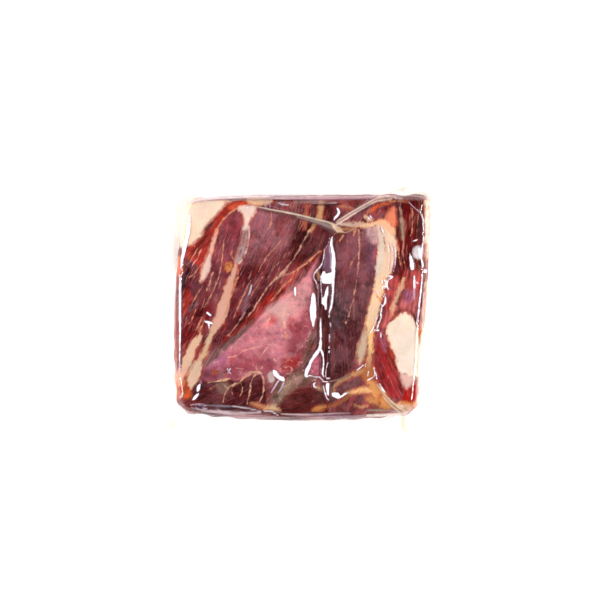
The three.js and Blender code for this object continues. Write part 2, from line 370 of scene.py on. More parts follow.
# Muscles, from the lowest up: tone, edge softness, the fibres' slope in degrees with their bend, how
# streaky they are and how strong their mauve bloom is, a bloom that is partly a painted soft lilac
# reflection of the film, and outline. A patch without fibres keeps those under it.
MUSCLES = [
    # The large muscle at the upper left: mauve on the left, paler at the top with a painted soft
    # reflection of the film, dark along the right and wine-red below.
    ((118, 50, 60), 2, (74, -0.0016, 0.7, 0.4),
     [(-56, 20), (-53, 34), (-48, 48), (-40, 57), (-34, 54), (-34, 44), (-38, 28), (-42, 14), (-50, -4),
      (-58, -14), (-58, 4)]),
    ((146, 60, 70), 3, None, [(-44, 50), (-36, 55), (-34, 44), (-38, 38), (-44, 42)]),
    ((136, 68, 72), 3, (64, 0.0012, 0.45, 1),
     [(-32, 56), (-24, 57), (-6, 54), (-4, 44), (-12, 32), (-22, 24), (-34, 24), (-35, 34), (-31, 44)]),
    ((146, 82, 90), 3, None, [(-29, 54), (-20, 54), (-17, 44), (-22, 34), (-29, 36)]),
    ((80, 20, 22), 3, (60, 0.0012, 0.8, 0.3),
     [(-2, 54), (10, 62), (19, 60), (19, 44), (13, 33), (0, 24), (-10, 20), (-8, 30), (-6, 44)]),
    ((98, 28, 34), 3, (64, 0.0006, 1.0, 0.5),
     [(-40, 22), (-20, 24), (-6, 24), (-20, 0), (-34, -12), (-52, -26), (-50, -12), (-42, 4)]),
    # The left edge, and the dried rim under the corner's fat.
    ((104, 14, 18), 2, (66, 0.0008, 0.9, 0.5),
     [(-84, 30), (-58, 28), (-56, 14), (-53, 0), (-56, -16), (-60, -18), (-64, -24), (-84, -24)]),
    ((92, 14, 26), 2, None, [(-72, 30), (-60, 33), (-57, 16), (-60, 4), (-72, 8)]),
    ((142, 28, 20), 1.5, None, [(-68.5, 9), (-64, 7), (-63, -2), (-66, -5), (-69, -3)]),
    ((146, 98, 102), 1, None, [(-65.5, -3.6), (-60, 1.2), (-60.6, 2.8), (-65.4, 0)]),
    ((166, 46, 38), 1.0, (50, 0, 0.6, 0),
     [(-70, 31), (-60, 41), (-50, 52.5), (-43, 60.5), (-28, 62), (-31, 58.5), (-41, 55), (-47.5, 47),
      (-51.5, 40), (-55.5, 30), (-58.5, 18), (-61, 24)]),
    ((116, 52, 50), 1.5, None, [(-57.5, 44), (-54, 47.5), (-50.4, 51.6), (-51.6, 47), (-55, 43)]),
    # The pale inner muscle.
    ((204, 122, 134), 1.0, (42, 0, 0.15, 0.3),
     [(9, 28), (6, 16), (5.5, 2), (6, -10), (4, -22), (1, -32), (-4, -36), (-12, -38.5), (-24, -39.5),
      (-36, -42.5), (-46, -43), (-56, -42.5), (-58, -38.4), (-53.4, -33.3), (-49, -29), (-45.4, -23.2),
      (-37.4, -18.8), (-31.6, -13.8), (-27.3, -9.4), (-22.9, -5), (-16.4, 0), (-8.4, 6.2), (-1, 14),
      (4, 20)]),
    ((230, 158, 160), 4, None,
     [(-22, -2), (-10, 6), (-2, 12), (3, 14), (4, 2), (-4, -8), (-14, -12), (-22, -10)]),
    ((166, 78, 92), 4, None,
     [(-58, -42), (-50, -30), (-36, -26), (-20, -28), (-12, -40), (-30, -42), (-50, -44)]),
    ((180, 104, 134), 3, None, [(-56, -34), (-50, -27.6), (-43, -28), (-45, -33.4), (-53, -36)]),
    ((122, 52, 70), 2.5, None, [(-57, -37), (-47, -36.6), (-46, -42), (-57, -42.6)]),
    ((158, 72, 84), 3, None,
     [(4, 6), (6.5, -8), (5, -22), (1, -34), (-8, -37), (-9, -26), (-4, -12), (0, -4)]),
    ((196, 88, 98), 2, None, [(-19.4, -5), (-15, -5.6), (-15.4, -10), (-19, -10)]),
    ((166, 62, 70), 2, None, [(-8, -7), (-3, -8), (-3, -14), (-8, -13)]),
    ((160, 44, 44), 1.6, None,
     [(-12, -31), (-9, -30), (-3, -30), (1, -34), (-4, -36.5), (-9, -38), (-12, -37)]),
    # A painted shadow between the pale muscle and the channel.
    ((128, 88, 80), 2, None, [(6, -14), (9, -18), (8, -26), (3, -34), (-2, -37), (0, -30), (3, -20)]),
    ((122, 78, 70), 2.4, (60, 0, 0.12, 0),
     [(-20, -62), (-18, -54), (-13, -46), (-8, -41), (-2, -37), (7, -38.6), (9, -42), (3, -46),
      (-5, -49), (-11, -54), (-13, -62)]),
    # The dark muscle along the lower left.
    ((80, 20, 26), 0.8, (25, 0, 0.45, 0.4),
     [(-58.4, -44.2), (-54, -43.5), (-43.2, -42.7), (-37.4, -44.2), (-31.6, -41.3), (-24.4, -39.9),
      (-22, -44.2), (-21, -53.6), (-24, -66), (-49, -68), (-70, -68), (-66, -54), (-61, -48)]),
    ((122, 92, 78), 1.6, None, [(-49.6, -44), (-43, -44.6), (-43.4, -50), (-48.6, -49.6)]),
    # The sunk channel, and the sliver of the pale muscle beside it.
    ((82, 30, 30), 1.2, (86, 0, 0.4, 0.1),
     [(20, 44), (19.5, 30), (19.5, 10), (18.5, -6), (17.5, -30), (18, -42), (12, -42), (10.5, -30),
      (9, -10), (7.5, 6), (7.5, 18), (12.5, 28), (14, 38)]),
    ((188, 92, 116), 0.8, (60, 0, 0.2, 0.2),
     [(8.8, -26), (10.6, -32), (10.8, -39), (6, -40.5), (3.2, -39), (5.4, -33)]),
    # The dark middle muscle.
    ((100, 50, 54), 0.7, (84, -0.0012, 0.4, 0.6),
     [(18.5, 44), (28, 46), (38, 46.5), (43, 44), (44.5, 37), (44.5, 31), (43.3, 24), (42.6, 17),
      (41, 10.4), (39.7, 3.6), (38.2, -1.4), (36.8, -8), (34.6, -15.9), (32.4, -23.2), (30.3, -30.4),
      (28, -37), (23, -42), (17, -42), (16.5, -20), (17.5, 4), (18.8, 24)]),
    ((124, 64, 72), 6, None, [(19, 46), (42, 46), (44, 30), (42, 18), (20, 20)]),
    ((128, 76, 96), 3, None, [(38, 40), (44, 38), (43.6, 28), (41, 18), (38, 24)]),
    ((84, 32, 36), 6, None, [(17, -8), (36, -10), (30, -32), (24, -42), (16, -42)]),
    ((74, 48, 52), 4, None, [(18, 8), (26, 6), (27, -10), (18, -12)]),
    ((224, 178, 176), 2, None, [(37, 46.5), (44.5, 46), (45, 38), (41, 36.5), (38.5, 40)]),
    ((138, 60, 48), 1.4, None, [(19, 42), (23, 43), (24, 38), (20, 37)]),
    # The muscles of the right side, the upper one running down into a lilac tip.
    ((98, 4, 6), 0.8, (82, 0, 0.9, 0.05),
     [(55, 58), (62, 66), (84, 66), (84, 10), (84, -34), (68, -26), (66, -14), (63, -4), (57, -3),
      (53, -8), (48, -12), (45, -14), (45.5, -4), (47.8, 8), (51, 17), (54.6, 26), (54.6, 34), (53, 42),
      (54.6, 50)]),
    ((82, 30, 36), 2, None, [(54, 58), (58, 62), (58, 52), (56, 46), (54, 50)]),
    ((76, 16, 14), 1.4, None, [(65.6, 62), (71, 62), (71, 42), (66.4, 41)]),
    ((140, 104, 88), 1.2, None, [(57, 51), (59.4, 50), (59.6, 42), (57.6, 38), (56.6, 42)]),
    ((176, 74, 74), 2, None, [(49, 15), (54, 18), (57.4, 13), (54, 5), (51.6, -4), (47.8, -4), (48, 6)]),
    ((186, 78, 74), 2, None, [(60, 20), (68.4, 20), (68, 2), (63, 0), (60, 8)]),
    ((204, 106, 106), 2.5, None,
     [(60, 8), (66, 8), (67, -6), (62, -3), (56, -2), (49, -12), (46, -11), (50, -2), (56, 2)]),
    ((174, 98, 126), 1.6, None, [(59, 8.6), (63, 9), (64, 3.6), (60, 2)]),
    ((86, 26, 32), 1.2, None, [(53, 30), (57, 32), (58, 24), (55, 18), (51, 19)]),
    ((148, 38, 42), 0.8, (112, 0, 0.8, 0.1),
     [(44, -14.5), (46.2, -15.9), (49.8, -18.8), (52, -23.9), (54.2, -28.3), (55.6, -35.5), (57, -42.8),
      (60.7, -49.3), (59.3, -54.4), (52, -52.9), (47.7, -50), (44, -42.8), (42.2, -35.5), (42.2, -26.8),
      (43.3, -19.6)]),
    ((178, 90, 108), 1.2, None, [(44.6, -15), (47.4, -16.4), (49.4, -22), (48.4, -27), (45.8, -24)]),
    ((196, 66, 36), 1.4, None, [(50.6, -21), (52.6, -25), (54.6, -33), (53.4, -36), (50.4, -30)]),
    ((170, 12, 2), 1.6, (100, 0, 0.5, 0),
     [(61, -46.5), (68, -44), (84, -44), (84, -66), (60, -60), (59.5, -50)]),
    # The lower edge.
    ((104, 56, 56), 0.8, (30, 0, 0.3, 0.5),
     [(20, -49.3), (23, -44.2), (28, -42.8), (34.6, -40.6), (36, -42.8), (33, -45.7), (26.6, -49.3)]),
    ((84, 22, 20), 0.8, (15, 0, 0.4, 0.2),
     [(-15, -58.5), (-8.4, -52), (-1.2, -47.8), (6, -47.2), (11, -50), (14, -56), (12, -70), (-20, -70)]),
    ((112, 34, 28), 1.5, None, [(-84, -50), (-66, -52), (-60, -56), (-60, -70), (-84, -70)]),
    ((178, 80, 38), 1.4, (70, 0, 0.8, 0),
     [(-84, -42), (-67.4, -43), (-64.6, -49), (-65.5, -53.5), (-84, -53.5)]),
    ((238, 190, 156), 1.2, None, [(-84, -38), (-69.4, -38), (-69, -42), (-71, -45), (-84, -45)]),
    ((208, 98, 42), 1.0, None, [(-84, 28), (-70.5, 28), (-71, 18), (-84, 16)]),
]

# Soft stains along the muscles' edges, and a painted shade in one shallow hollow: tone, softness, and line
# with widths.
STAINS_AND_PAINTED_SHADE = [
    ((152, 36, 24), 1.4, [(14, 33, 2), (2, 24, 3.4), (-8, 14.5, 4.5), (-16, 6, 5), (-24, -1.5, 5),
                          (-34, -11, 4), (-44, -19, 3)]),
    # Painted shade: a soft olive-brown shade in the shallow hollow along the lower left of the pale muscle's
    # edge.
    ((116, 82, 76), 1.2, [(-29, -8, 1), (-33, -13, 2), (-40, -19.5, 3), (-49, -27, 4), (-56, -33.5, 4)]),
    ((204, 80, 46), 1.0, [(-42, 57, 2), (-36, 59, 3), (-29, 59, 3)]),
    ((112, 30, 24), 0.8, [(-57.7, -16.7, 1), (-58.6, -20, 3), (-60, -25, 2.8), (-61.4, -30.4, 2.2),
                          (-63.5, -34, 1.4)]),
    ((170, 80, 60), 1.0, [(-51.2, -38.4, 3), (-50, -38.2, 3)]),
    ((122, 46, 40), 1.5, [(-14, 61.5, 3), (20, 61, 3.5), (36, 60, 2)]),
    ((212, 112, 52), 0.7, [(68.4, -8.7, 1.6), (68, -14, 2), (67.4, -19.6, 1.4)]),
    ((230, 150, 80), 1.0, [(57, -57, 3), (66, -57.5, 3)]),
    ((134, 24, 4), 0.8, [(-72, 16, 2), (-72, 0, 3.4), (-72, -18, 3.4), (-72, -32, 2)]),
    # Under the pleat's right arm.
    ((206, 92, 50), 0.8, [(38, 54.6, 1.4), (41, 56, 2.4), (45, 58.4, 1.8), (52, 59.8, 1.2)]),
    ((138, 22, 18), 0.7, [(41, 52.4, 0.8), (44, 54.2, 1.6), (48, 56.4, 1.8), (52.6, 58.8, 1.2)]),
    ((234, 150, 104), 0.5, [(43, 61, 0.6), (48, 61.6, 1), (56, 61, 0.9), (62, 60.6, 0.5)]),
    # The grey-olive film of fat between the pale muscle and the lower edge.
    ((132, 100, 86), 2.2, [(7, -40.6, 1.6), (2, -41, 4.4), (-3.5, -42.4, 6.4), (-7.6, -46, 7.4),
                           (-11.6, -50, 7), (-15, -54, 6), (-17, -59, 4)]),
    ((164, 132, 114), 1.6, [(0, -40.6, 1.4), (-5, -43.6, 3), (-9.6, -48, 3.4), (-12.6, -53, 2)]),
    ((112, 88, 76), 1.4, [(-14, -51, 1.4), (-16.6, -55, 2.4), (-17.6, -59, 1.4)]),
    ((176, 142, 104), 1.0, [(7.6, -46.4, 1.2), (10, -48, 2), (12.6, -49.4, 1)]),
    ((106, 96, 88), 0.7, [(17.2, -44, 0.8), (17.2, -50, 1.6), (17.4, -56, 1)]),
]

# Fat: tone, how sharp its edge is, and outline or line with widths.
FATS = [
    # The white corner at the upper left, and the strip that runs on from it.
    ((254, 224, 200), 0.4, [(-84, 66), (-44, 62), (-44.4, 60), (-46.5, 57), (-49, 54.5), (-52, 50.5),
                            (-55.2, 47.6), (-58, 43.6), (-59, 40.4), (-62.5, 37.2), (-66, 35.4), (-84, 35)]),
    ((240, 180, 160), 0.7, [(-49.2, 44.4, 1.2), (-50.8, 39, 2.2), (-52.4, 33.5, 2.4), (-53.2, 30, 2.2)]),
    ((238, 202, 194), 0.6, [(-53.2, 30, 2.2), (-54.4, 27, 3.2), (-56, 22, 4.8), (-57.3, 17.6, 3.4),
                            (-58.8, 13.4, 0.8)]),
    # The wedge at the top and the grey cord under it.
    ((244, 214, 202), 0.6, [(-38, 57.2), (-33, 58.2), (-26.5, 57.6), (-28, 53), (-30.6, 49.6),
                            (-31.2, 44.5), (-34, 43.5), (-33.8, 48.8), (-34.4, 52.6)]),
    ((178, 152, 156), 0.5, [(-32.4, 46, 1.6), (-33, 41, 3), (-34, 35.8, 3.2), (-36, 29, 3.6),
                            (-38.2, 25, 2.4)]),
    ((236, 186, 150), 0.8, [(-31, 59.4), (-20, 59), (-17, 62), (-24, 66), (-32, 64)]),
    ((210, 138, 78), 0.6, [(-45, 22.6), (-43.4, 25.4), (-40.6, 24.4), (-41, 21.6), (-43, 20)]),
    # The long seam down to the lower left, peach above and tan below.
    ((222, 168, 148), 0.8, [(-38.2, 25.2, 2.2), (-38.9, 21.3, 2.2), (-40.3, 17, 3.2), (-41.8, 12.6, 4.2),
                            (-43.4, 7.5, 5.2), (-45.2, 0.8, 6), (-47.4, -6.5, 6.4), (-49.4, -10, 5.2),
                            (-51.7, -13.8, 3.8)]),
    ((214, 180, 150), 1, [(-50, -11, 3), (-51.7, -13.8, 3.8), (-53, -17.4, 2.9), (-54.5, -21, 2.9),
                          (-55.8, -24.6, 2.6), (-57.6, -28.3, 2.5), (-59.6, -31.9, 3)]),
    ((226, 190, 164), 0.8, [(-59.6, -31.9, 3), (-61.4, -35.6, 6), (-62.6, -39, 7), (-63.8, -42.8, 6),
                            (-64.4, -46.5, 2), (-64.6, -48, 0.5)]),
    ((228, 188, 160), 1, [(-59, -16, 0.8), (-59.3, -18, 2.4), (-61.7, -21, 4.6), (-64, -24.6, 4.8),
                          (-65.2, -28.2, 5.4), (-66.6, -31.9, 5), (-68.2, -35.5, 4.4)]),
    ((240, 182, 156), 0.6, [(-68.2, -35.5, 4.4), (-69.4, -39, 4), (-70.6, -43, 2), (-71.4, -46, 1)]),
    # The tan strips at the top of the middle.
    ((206, 156, 116), 0.8, [(11.4, 63, 2.6), (10.9, 56, 3.2), (10.2, 52, 3.2), (8.6, 49, 2.6),
                            (6.6, 46.5, 1.6), (4.4, 43.5, 0.8)]),
    ((168, 100, 78), 0.6, [(2.7, 58, 1.2), (2, 51.7, 1.6), (1.8, 48, 1.2), (1.6, 45, 0.6)]),
    ((180, 120, 98), 0.6, [(22, 58.5, 1), (25, 57.5, 2), (28, 57, 1)]),
    # The seam right of the dark muscle: greyish beside it and peach beyond, then yellow, then tan.
    ((232, 212, 198), 0.8, [(44, 47, 1.6), (45.6, 41, 3), (46.4, 35, 4), (45.8, 29, 4.8), (45.2, 22, 4.8),
                            (44.6, 17, 4)]),
    ((250, 214, 188), 0.8, [(46.4, 47, 2), (48.8, 43, 5), (51, 38, 6.6), (51.6, 33, 6.8), (50.6, 28, 7),
                            (49.4, 23, 6.4), (47.6, 18.6, 6)]),
    ((252, 212, 176), 0.8, [(46, 17, 6.4), (45.2, 13, 6.2), (44.4, 9, 5.8), (43.2, 5, 5.8), (42, 0, 6.4),
                            (40.9, -5, 6.4), (39.6, -10, 6.2)]),
    ((242, 198, 142), 0.8, [(39.8, -9, 6), (39.8, -15, 4), (39.8, -20, 3), (39.6, -26, 2.6), (39, -31, 1.6)]),
    ((210, 180, 154), 0.4, [(37, -12, 1), (36.4, -17, 3), (35.4, -22, 4.6), (34.6, -26, 5), (33.8, -30, 3.6),
                            (33.4, -34, 1)]),
    ((196, 146, 108), 0.7, [(39.4, -26, 2), (39, -31, 3), (38.4, -36, 3.4)]),
    ((184, 112, 62), 0.5, [(35.3, -35.5), (38, -34), (41.8, -36), (42.3, -40), (40.5, -43.5), (37, -43.5),
                           (34.6, -40)]),
    ((240, 138, 104), 0.4, [(50.4, 54.8), (53.6, 57.4), (54.4, 52), (54.2, 47), (51.6, 46.4), (48.6, 50)]),
    # Strips of fat that run round the block's right side.
    ((247, 228, 208), 0.5, [(72.6, 61, 1.2), (72.8, 50, 1.8), (72.8, 38, 1.8), (72.6, 28, 1)]),
    ((247, 228, 208), 0.5, [(72.2, 14, 0.6), (71.6, 2, 1.6), (71, -8, 2), (70.4, -18, 2.6),
                            (69.6, -25, 2.6)]),
    ((251, 229, 213), 0.5, [(68.8, -38, 3.2), (69.2, -46, 3.4), (68.6, -54, 3), (66.4, -60, 1.6)]),
    # The top of that seam, and the strip over the dark middle muscle.
    ((252, 192, 154), 0.7, [(44.4, 49.6), (48, 50.6), (52, 47.6), (54.2, 44), (53.7, 39.6), (52, 39.6),
                            (49, 42.4), (46.8, 45.4)]),
    ((232, 196, 166), 0.6, [(36.6, 52, 1.6), (38.4, 50.6, 2.2), (40.6, 50, 1.4)]),
    ((250, 202, 166), 0.6, [(24, 47.4, 1), (28, 47.6, 1.8), (33, 47.2, 2.6), (38, 47.2, 2.8), (44, 48, 2.2)]),
    # The white fat at the right, with its pinkish foot.
    ((251, 229, 213), 0.8, [(58.6, -3.6), (54.5, -7.4), (50, -11), (49.2, -15.9), (51.6, -23.2),
                            (54.2, -28.3), (55.2, -35), (57, -38.6), (60.6, -39.6), (62, -41.6),
                            (66.5, -41), (84, -44), (84, -32), (69.6, -24), (67, -14), (65.2, -9),
                            (62.4, -4.6)]),
    ((234, 190, 182), 0.4, [(57.4, -39.4), (62, -40.4), (66, -41), (65, -44), (61, -47.6), (58.6, -45)]),
    # A seam and a pale spot in the upper right muscle.
    ((228, 170, 142), 0.8, [(59.4, 16.4, 1), (58, 12.4, 2.4), (56.4, 8.5, 2.6), (54.2, 3.5, 2.4),
                            (52.2, -3, 1.8), (51.6, -6, 0.8)]),
    ((240, 224, 216), 0.6, [(64.2, 30.6), (65.4, 33.6), (68.4, 33.6), (69.6, 30.4), (68.6, 27.6),
                            (65.4, 28)]),
    # Fat along the lower edge.
    ((190, 146, 108), 0.5, [(18.5, -50, 1), (19.7, -46, 1.6), (23.2, -43, 1.8), (27, -41, 2),
                            (33, -38.4, 2.6), (36, -37, 2)]),
    ((226, 154, 94), 0.4, [(38.4, -43, 2.6), (40.6, -46, 5), (43.4, -50, 6.6), (46.6, -54, 6.6),
                           (50, -58, 5)]),
    ((246, 192, 136), 0.4, [(26, -51, 1.6), (31, -49.6, 2.8), (37, -48.6, 3.6), (41, -49.6, 3)]),
    ((204, 140, 84), 0.4, [(39, -54, 4), (44.6, -57, 4.4), (51, -59, 3)]),
    ((198, 132, 78), 0.5, [(7, -60, 2), (10, -59.2, 2.8), (13, -58.6, 1.6)]),
    ((160, 92, 58), 0.5, [(15.6, -58.4, 1.4), (19, -57, 2), (24, -54.4, 2.2), (28, -51.4, 2)]),
    ((202, 150, 116), 0.5, [(31, -57.6, 1), (35, -58.6, 1.6), (38, -57.8, 1)]),
    ((196, 142, 106), 0.4, [(-29, -56.4, 1), (-26, -57.4, 2.2), (-22.6, -58.6, 1.6)]),
    ((216, 184, 150), 0.4, [(-22, -59.8, 1), (-18, -59, 2.4), (-13.4, -60.4, 1.2)]),
]

# Dark flecks lying in the fat: outline or line with widths.
FLECKS = [
    [(27, -54.4), (31, -52.6), (35, -53.4), (38, -55.6), (36.6, -58), (30, -57)],
    [(41, -57, 1.4), (43.4, -58.6, 2.2), (44.6, -60.4, 1.4)],
    [(36.4, -51.4, 0.8), (38.6, -52.2, 1.2)],
    [(30, -33.4, 1), (32, -34.4, 2.8), (33.6, -36.4, 1.2)],
    [(58, -56.6, 0.5), (60, -59.5, 0.8)],
    [(-32.6, 43.6, 0.4), (-33.6, 39, 0.9), (-34.8, 35, 0.4)],
    [(-35.4, 32.4, 0.4), (-36.2, 29.6, 0.7)],
    [(-44, 23.6, 0.3), (-42.4, 24, 0.5), (-41.6, 22.4, 0.3)],
    [(46.6, -50, 0.5), (44.4, -54, 0.8), (45, -57, 0.5)],
]

# Veins: tone, and line with widths.
VEINS = [
    ((222, 122, 72), [(-37, 57.6, 1), (-41.7, 53.9, 1.1), (-46, 49.5, 1.1), (-49, 45, 1.1),
                      (-50.4, 42, 0.8)]),
    ((196, 70, 40), [(-53.9, 35, 0.8), (-55.2, 29, 1), (-57.2, 24, 1), (-58.8, 19, 0.5)]),
    ((220, 190, 180), [(-30.4, 46, 0.7), (-30.8, 40, 0.9), (-31.4, 35.5, 0.9), (-33.2, 29, 0.9),
                       (-36.6, 24.8, 0.7)]),
    ((196, 112, 78), [(-45.4, 38, 0.6), (-46, 31.4, 0.8), (-46.8, 22.7, 0.8), (-49, 14.7, 0.8),
                      (-51, 9.7, 0.7), (-54, 4, 0.7), (-57, -1, 0.5)]),
    ((206, 130, 110), [(-51.5, 19.8, 0.6), (-53.4, 14, 0.9), (-55.5, 9, 0.6)]),
    ((214, 150, 140), [(-57, 34, 0.5), (-59.6, 30.6, 0.9), (-61, 27, 0.7), (-64.6, 23, 0.5)]),
    ((206, 130, 112), [(-60.6, 34, 0.4), (-63.6, 28, 0.7), (-66.8, 24, 0.4)]),
    ((196, 100, 80), [(-59, 24, 0.4), (-63, 18.6, 0.7), (-67.6, 15, 0.4)]),
    ((206, 96, 60), [(-57.4, 12, 0.4), (-60.6, 6.4, 0.7), (-64, 1.6, 0.4)]),
    ((214, 120, 80), [(-62.4, -14.4, 0.3), (-59.4, -9.8, 0.7), (-57.6, -5.4, 0.4)]),
    ((214, 120, 80), [(-59.6, -15, 0.4), (-57.6, -11, 0.7), (-56.4, -7.6, 0.3)]),
    ((206, 100, 62), [(-65.6, -10, 0.3), (-63, -5.4, 0.6), (-61.4, -1.6, 0.4)]),
    # Threads in the dark band below the long seam.
    ((190, 110, 96), [(-29.6, 15, 0.4), (-33, 8.4, 0.7), (-36.6, 0.6, 0.7), (-39.6, -7, 0.3)]),
    ((198, 120, 104), [(-22, 18.4, 0.4), (-26.6, 11, 0.7), (-31, 2.6, 0.4)]),
    ((186, 96, 84), [(-36.4, 17, 0.4), (-39.8, 9, 0.6), (-43, 0, 0.6), (-46.4, -9, 0.3)]),
    ((206, 132, 112), [(-33, -3.4, 0.4), (-37.6, -10.6, 0.7), (-43, -17.4, 0.4)]),
    ((196, 118, 98), [(-13, 26, 0.3), (-17.6, 20.4, 0.6), (-21, 14.4, 0.3)]),
    ((200, 72, 40), [(-37.4, 23, 0.8), (-37.2, 19, 1.3), (-38.4, 14, 1.4), (-40, 10, 1), (-41.6, 7, 0.5)]),
    ((190, 66, 36), [(-40, 27, 0.6), (-41, 30, 1.2), (-40.4, 33, 0.5)]),
    ((214, 112, 82), [(-17.8, 55, 0.7), (-18.2, 47.4, 0.9), (-20.7, 43.7, 0.8), (-22.5, 40, 0.5)]),
    ((190, 108, 84), [(-12.4, 38, 0.5), (-15, 34.3, 0.8), (-18.6, 30.7, 0.8), (-22.2, 25.6, 0.7),
                      (-25, 20, 0.4)]),
    ((208, 154, 130), [(4.4, 43.5, 0.9), (0.5, 37.2, 0.7), (-3, 30.5, 0.7), (-8.4, 22.7, 0.8),
                       (-11.3, 18.8, 1.8), (-16.4, 14.7, 1.3), (-21.5, 8.9, 0.8), (-27.3, -0.5, 0.7),
                       (-32, -7, 0.4)]),
    ((214, 132, 92), [(13, 33, 0.7), (8, 30, 0.9), (4, 26, 1), (0, 23, 1.1), (-4, 20.6, 1.1),
                      (-8, 18.4, 1.2), (-10.6, 18.2, 1.2)]),
    ((200, 112, 80), [(-5.5, 16.2, 0.8), (-10.6, 11.8, 0.9), (-14.2, 7.5, 0.8), (-18, 3, 0.5)]),
    ((206, 128, 108), [(33, 44, 1.2), (33, 38, 1.2), (33, 30, 1), (32.6, 24, 0.8), (31.5, 15, 0.6),
                       (30.5, 8, 0.6), (27, -5, 0.5), (25, -10, 0.4)]),
    ((176, 106, 86), [(33, 31, 0.5), (29.5, 27, 0.6), (27.5, 22, 0.4)]),
    ((226, 150, 110), [(23.8, 40.8, 1.2), (21.8, 38, 0.5)]),
    ((214, 130, 90), [(30.6, 44.4, 1.8), (30, 41, 0.9)]),
    ((150, 112, 102), [(57, 57, 1.2), (58, 48, 1.6), (58, 42, 1.4), (59, 33, 0.6)]),
    ((190, 90, 60), [(64, 57, 0.7), (64, 45, 0.7), (63, 40, 0.5)]),
    ((214, 110, 62), [(55.5, 35, 0.8), (56, 30, 0.9), (57, 24, 0.5)]),
    ((180, 70, 44), [(58.5, 38, 0.7), (58.6, 30, 0.9), (60, 22, 0.5)]),
    ((178, 62, 40), [(-62, -33, 0.9), (-65, -38, 0.9), (-67.5, -43, 0.9), (-70, -50, 0.8)]),
    ((226, 172, 132), [(-54.6, -44.4, 0.6), (-50.5, -43.6, 0.8), (-46, -42.8, 1.2), (-42, -42.4, 0.7)]),
    ((206, 154, 116), [(-46, -56, 0.3), (-44.6, -51, 0.5), (-42.5, -47.6, 0.8), (-40, -45.8, 1),
                       (-36.4, -44.2, 1), (-33.6, -41.4, 1.4), (-31.6, -39.6, 1.8)]),
    ((246, 206, 160), [(-32.4, -40.2, 1.2), (-30.8, -39.2, 2.2), (-28.6, -38.6, 1.4), (-26, -38.2, 1.6),
                       (-23.6, -38.8, 1.2)]),
    ((220, 162, 128), [(-24, -38.8, 1.2), (-22.8, -41, 1), (-22.2, -45, 1), (-22.4, -49, 0.9),
                       (-23.6, -53, 0.6), (-24.4, -56, 0.4)]),
    ((214, 162, 132), [(-26.8, -39.4, 0.8), (-28.6, -42, 0.7), (-29.8, -45, 0.9), (-30, -49, 0.7),
                       (-31.4, -54, 0.8), (-32, -57, 0.5)]),
    ((204, 136, 110), [(-39, -45, 0.6), (-41, -48, 0.5), (-40, -51, 0.3)]),
    ((214, 150, 120), [(-26.4, -38, 0.8), (-26.6, -35, 1), (-25.6, -33.6, 0.5)]),
    ((206, 140, 112), [(-35.6, -44, 0.5), (-34.4, -48, 0.6), (-36, -52, 0.4)]),
    ((178, 138, 110), [(-45.4, -45.7, 0.4), (-43.6, -47, 0.7), (-42.5, -47.8, 0.5)]),
    ((224, 142, 138), [(-45, -29.7, 0.4), (-38, -29, 0.6), (-34.5, -26, 0.8), (-28.7, -24.6, 0.9),
                       (-24.4, -23.2, 0.9), (-20.5, -24.5, 0.6)]),
    ((224, 142, 138), [(-15.7, -19.6, 0.6), (-19, -23, 0.8), (-21.5, -25.4, 0.8), (-24.4, -29.7, 0.5)]),
    ((232, 172, 150), [(-10, 0.5, 1), (-10.6, -5, 1.8), (-10.4, -10, 1.4), (-9.9, -13, 0.8)]),
    ((228, 130, 104), [(-9.4, -15, 0.8), (-9.2, -17.6, 2.4), (-8.4, -19.6, 0.6)]),
    ((230, 160, 140), [(-20.4, -4, 0.5), (-18.6, -6.5, 1.4), (-20.6, -9, 0.5)]),
    ((214, 138, 128), [(-9.6, -36, 0.7), (-7.6, -34.8, 0.7), (-5.6, -36.4, 0.7), (-6.6, -39, 0.7),
                       (-9, -39, 0.6)]),
    ((190, 110, 84), [(26, -2, 0.4), (27.5, -6, 0.5), (25, -11, 0.4)]),
    ((226, 92, 40), [(43.2, 7, 0.8), (44.4, 4.6, 1.1), (46, 2.6, 0.7)]),
    ((226, 92, 40), [(47.2, 9, 0.7), (48.6, 7, 1), (47.8, 4.6, 0.6)]),
]

FIBRES = (64, 0.0012, 0.8, 0.7)    # what lies under all the muscles
BASE_TONE = (124, 58, 60)

flat = tissue_places(places_of(ham))
tones = np.tile(paint(*BASE_TONE), (len(flat), 1))


def fibre_run(slope, bend, streaks):
    """Across and along the fibres, in millimetres, and how streaky they are, for each place."""
    angle = math.radians(slope)
    along = flat[:, 0] * math.cos(angle) + flat[:, 1] * math.sin(angle)
    across = flat[:, 0] * math.sin(angle) - flat[:, 1] * math.cos(angle) + bend * along ** 2
    return np.stack([across, along, np.full(len(flat), streaks)], 1)


grain = fibre_run(*FIBRES[:3])
bloom_and_painted_sheen = np.full(len(flat), FIBRES[3])
for tone, soft, fibres, outline in MUSCLES:
    cover = cover_of(outline, flat, soft)
    tones += (paint(*tone) - tones) * cover[:, None]
    if fibres:
        chosen = cover > 0.5
        grain[chosen] = fibre_run(*fibres[:3])[chosen]
        bloom_and_painted_sheen += (fibres[3] - bloom_and_painted_sheen) * cover
for tone, soft, line in STAINS_AND_PAINTED_SHADE:
    tones += (paint(*tone) - tones) * cover_of(line, flat, soft)[:, None]


def blended(shapes, width):
    """The depth in the deepest of some shapes, and the shapes' values, blended where they are near."""
    deepest = np.full(len(flat), FAR)
    total = 0
    weights = 0
    for values, shape in shapes:
        depth = depth_in(shape, flat)
        weight = np.exp(np.clip(depth, FAR, DEEP) / width)[:, None]
        total = total + weight * values
        weights = weights + weight
        deepest = np.maximum(deepest, depth)
    return deepest, total / weights


fat, fat_values = blended(
    [(np.array([*paint(*tone), sharp]), shape) for tone, sharp, shape in FATS], FAT_BLEND
)
for shape in FLECKS:
    fat = np.minimum(fat, -depth_in(shape, flat))
vein, vein_tones = blended([(paint(*tone), line) for tone, line in VEINS], VEIN_BLEND)


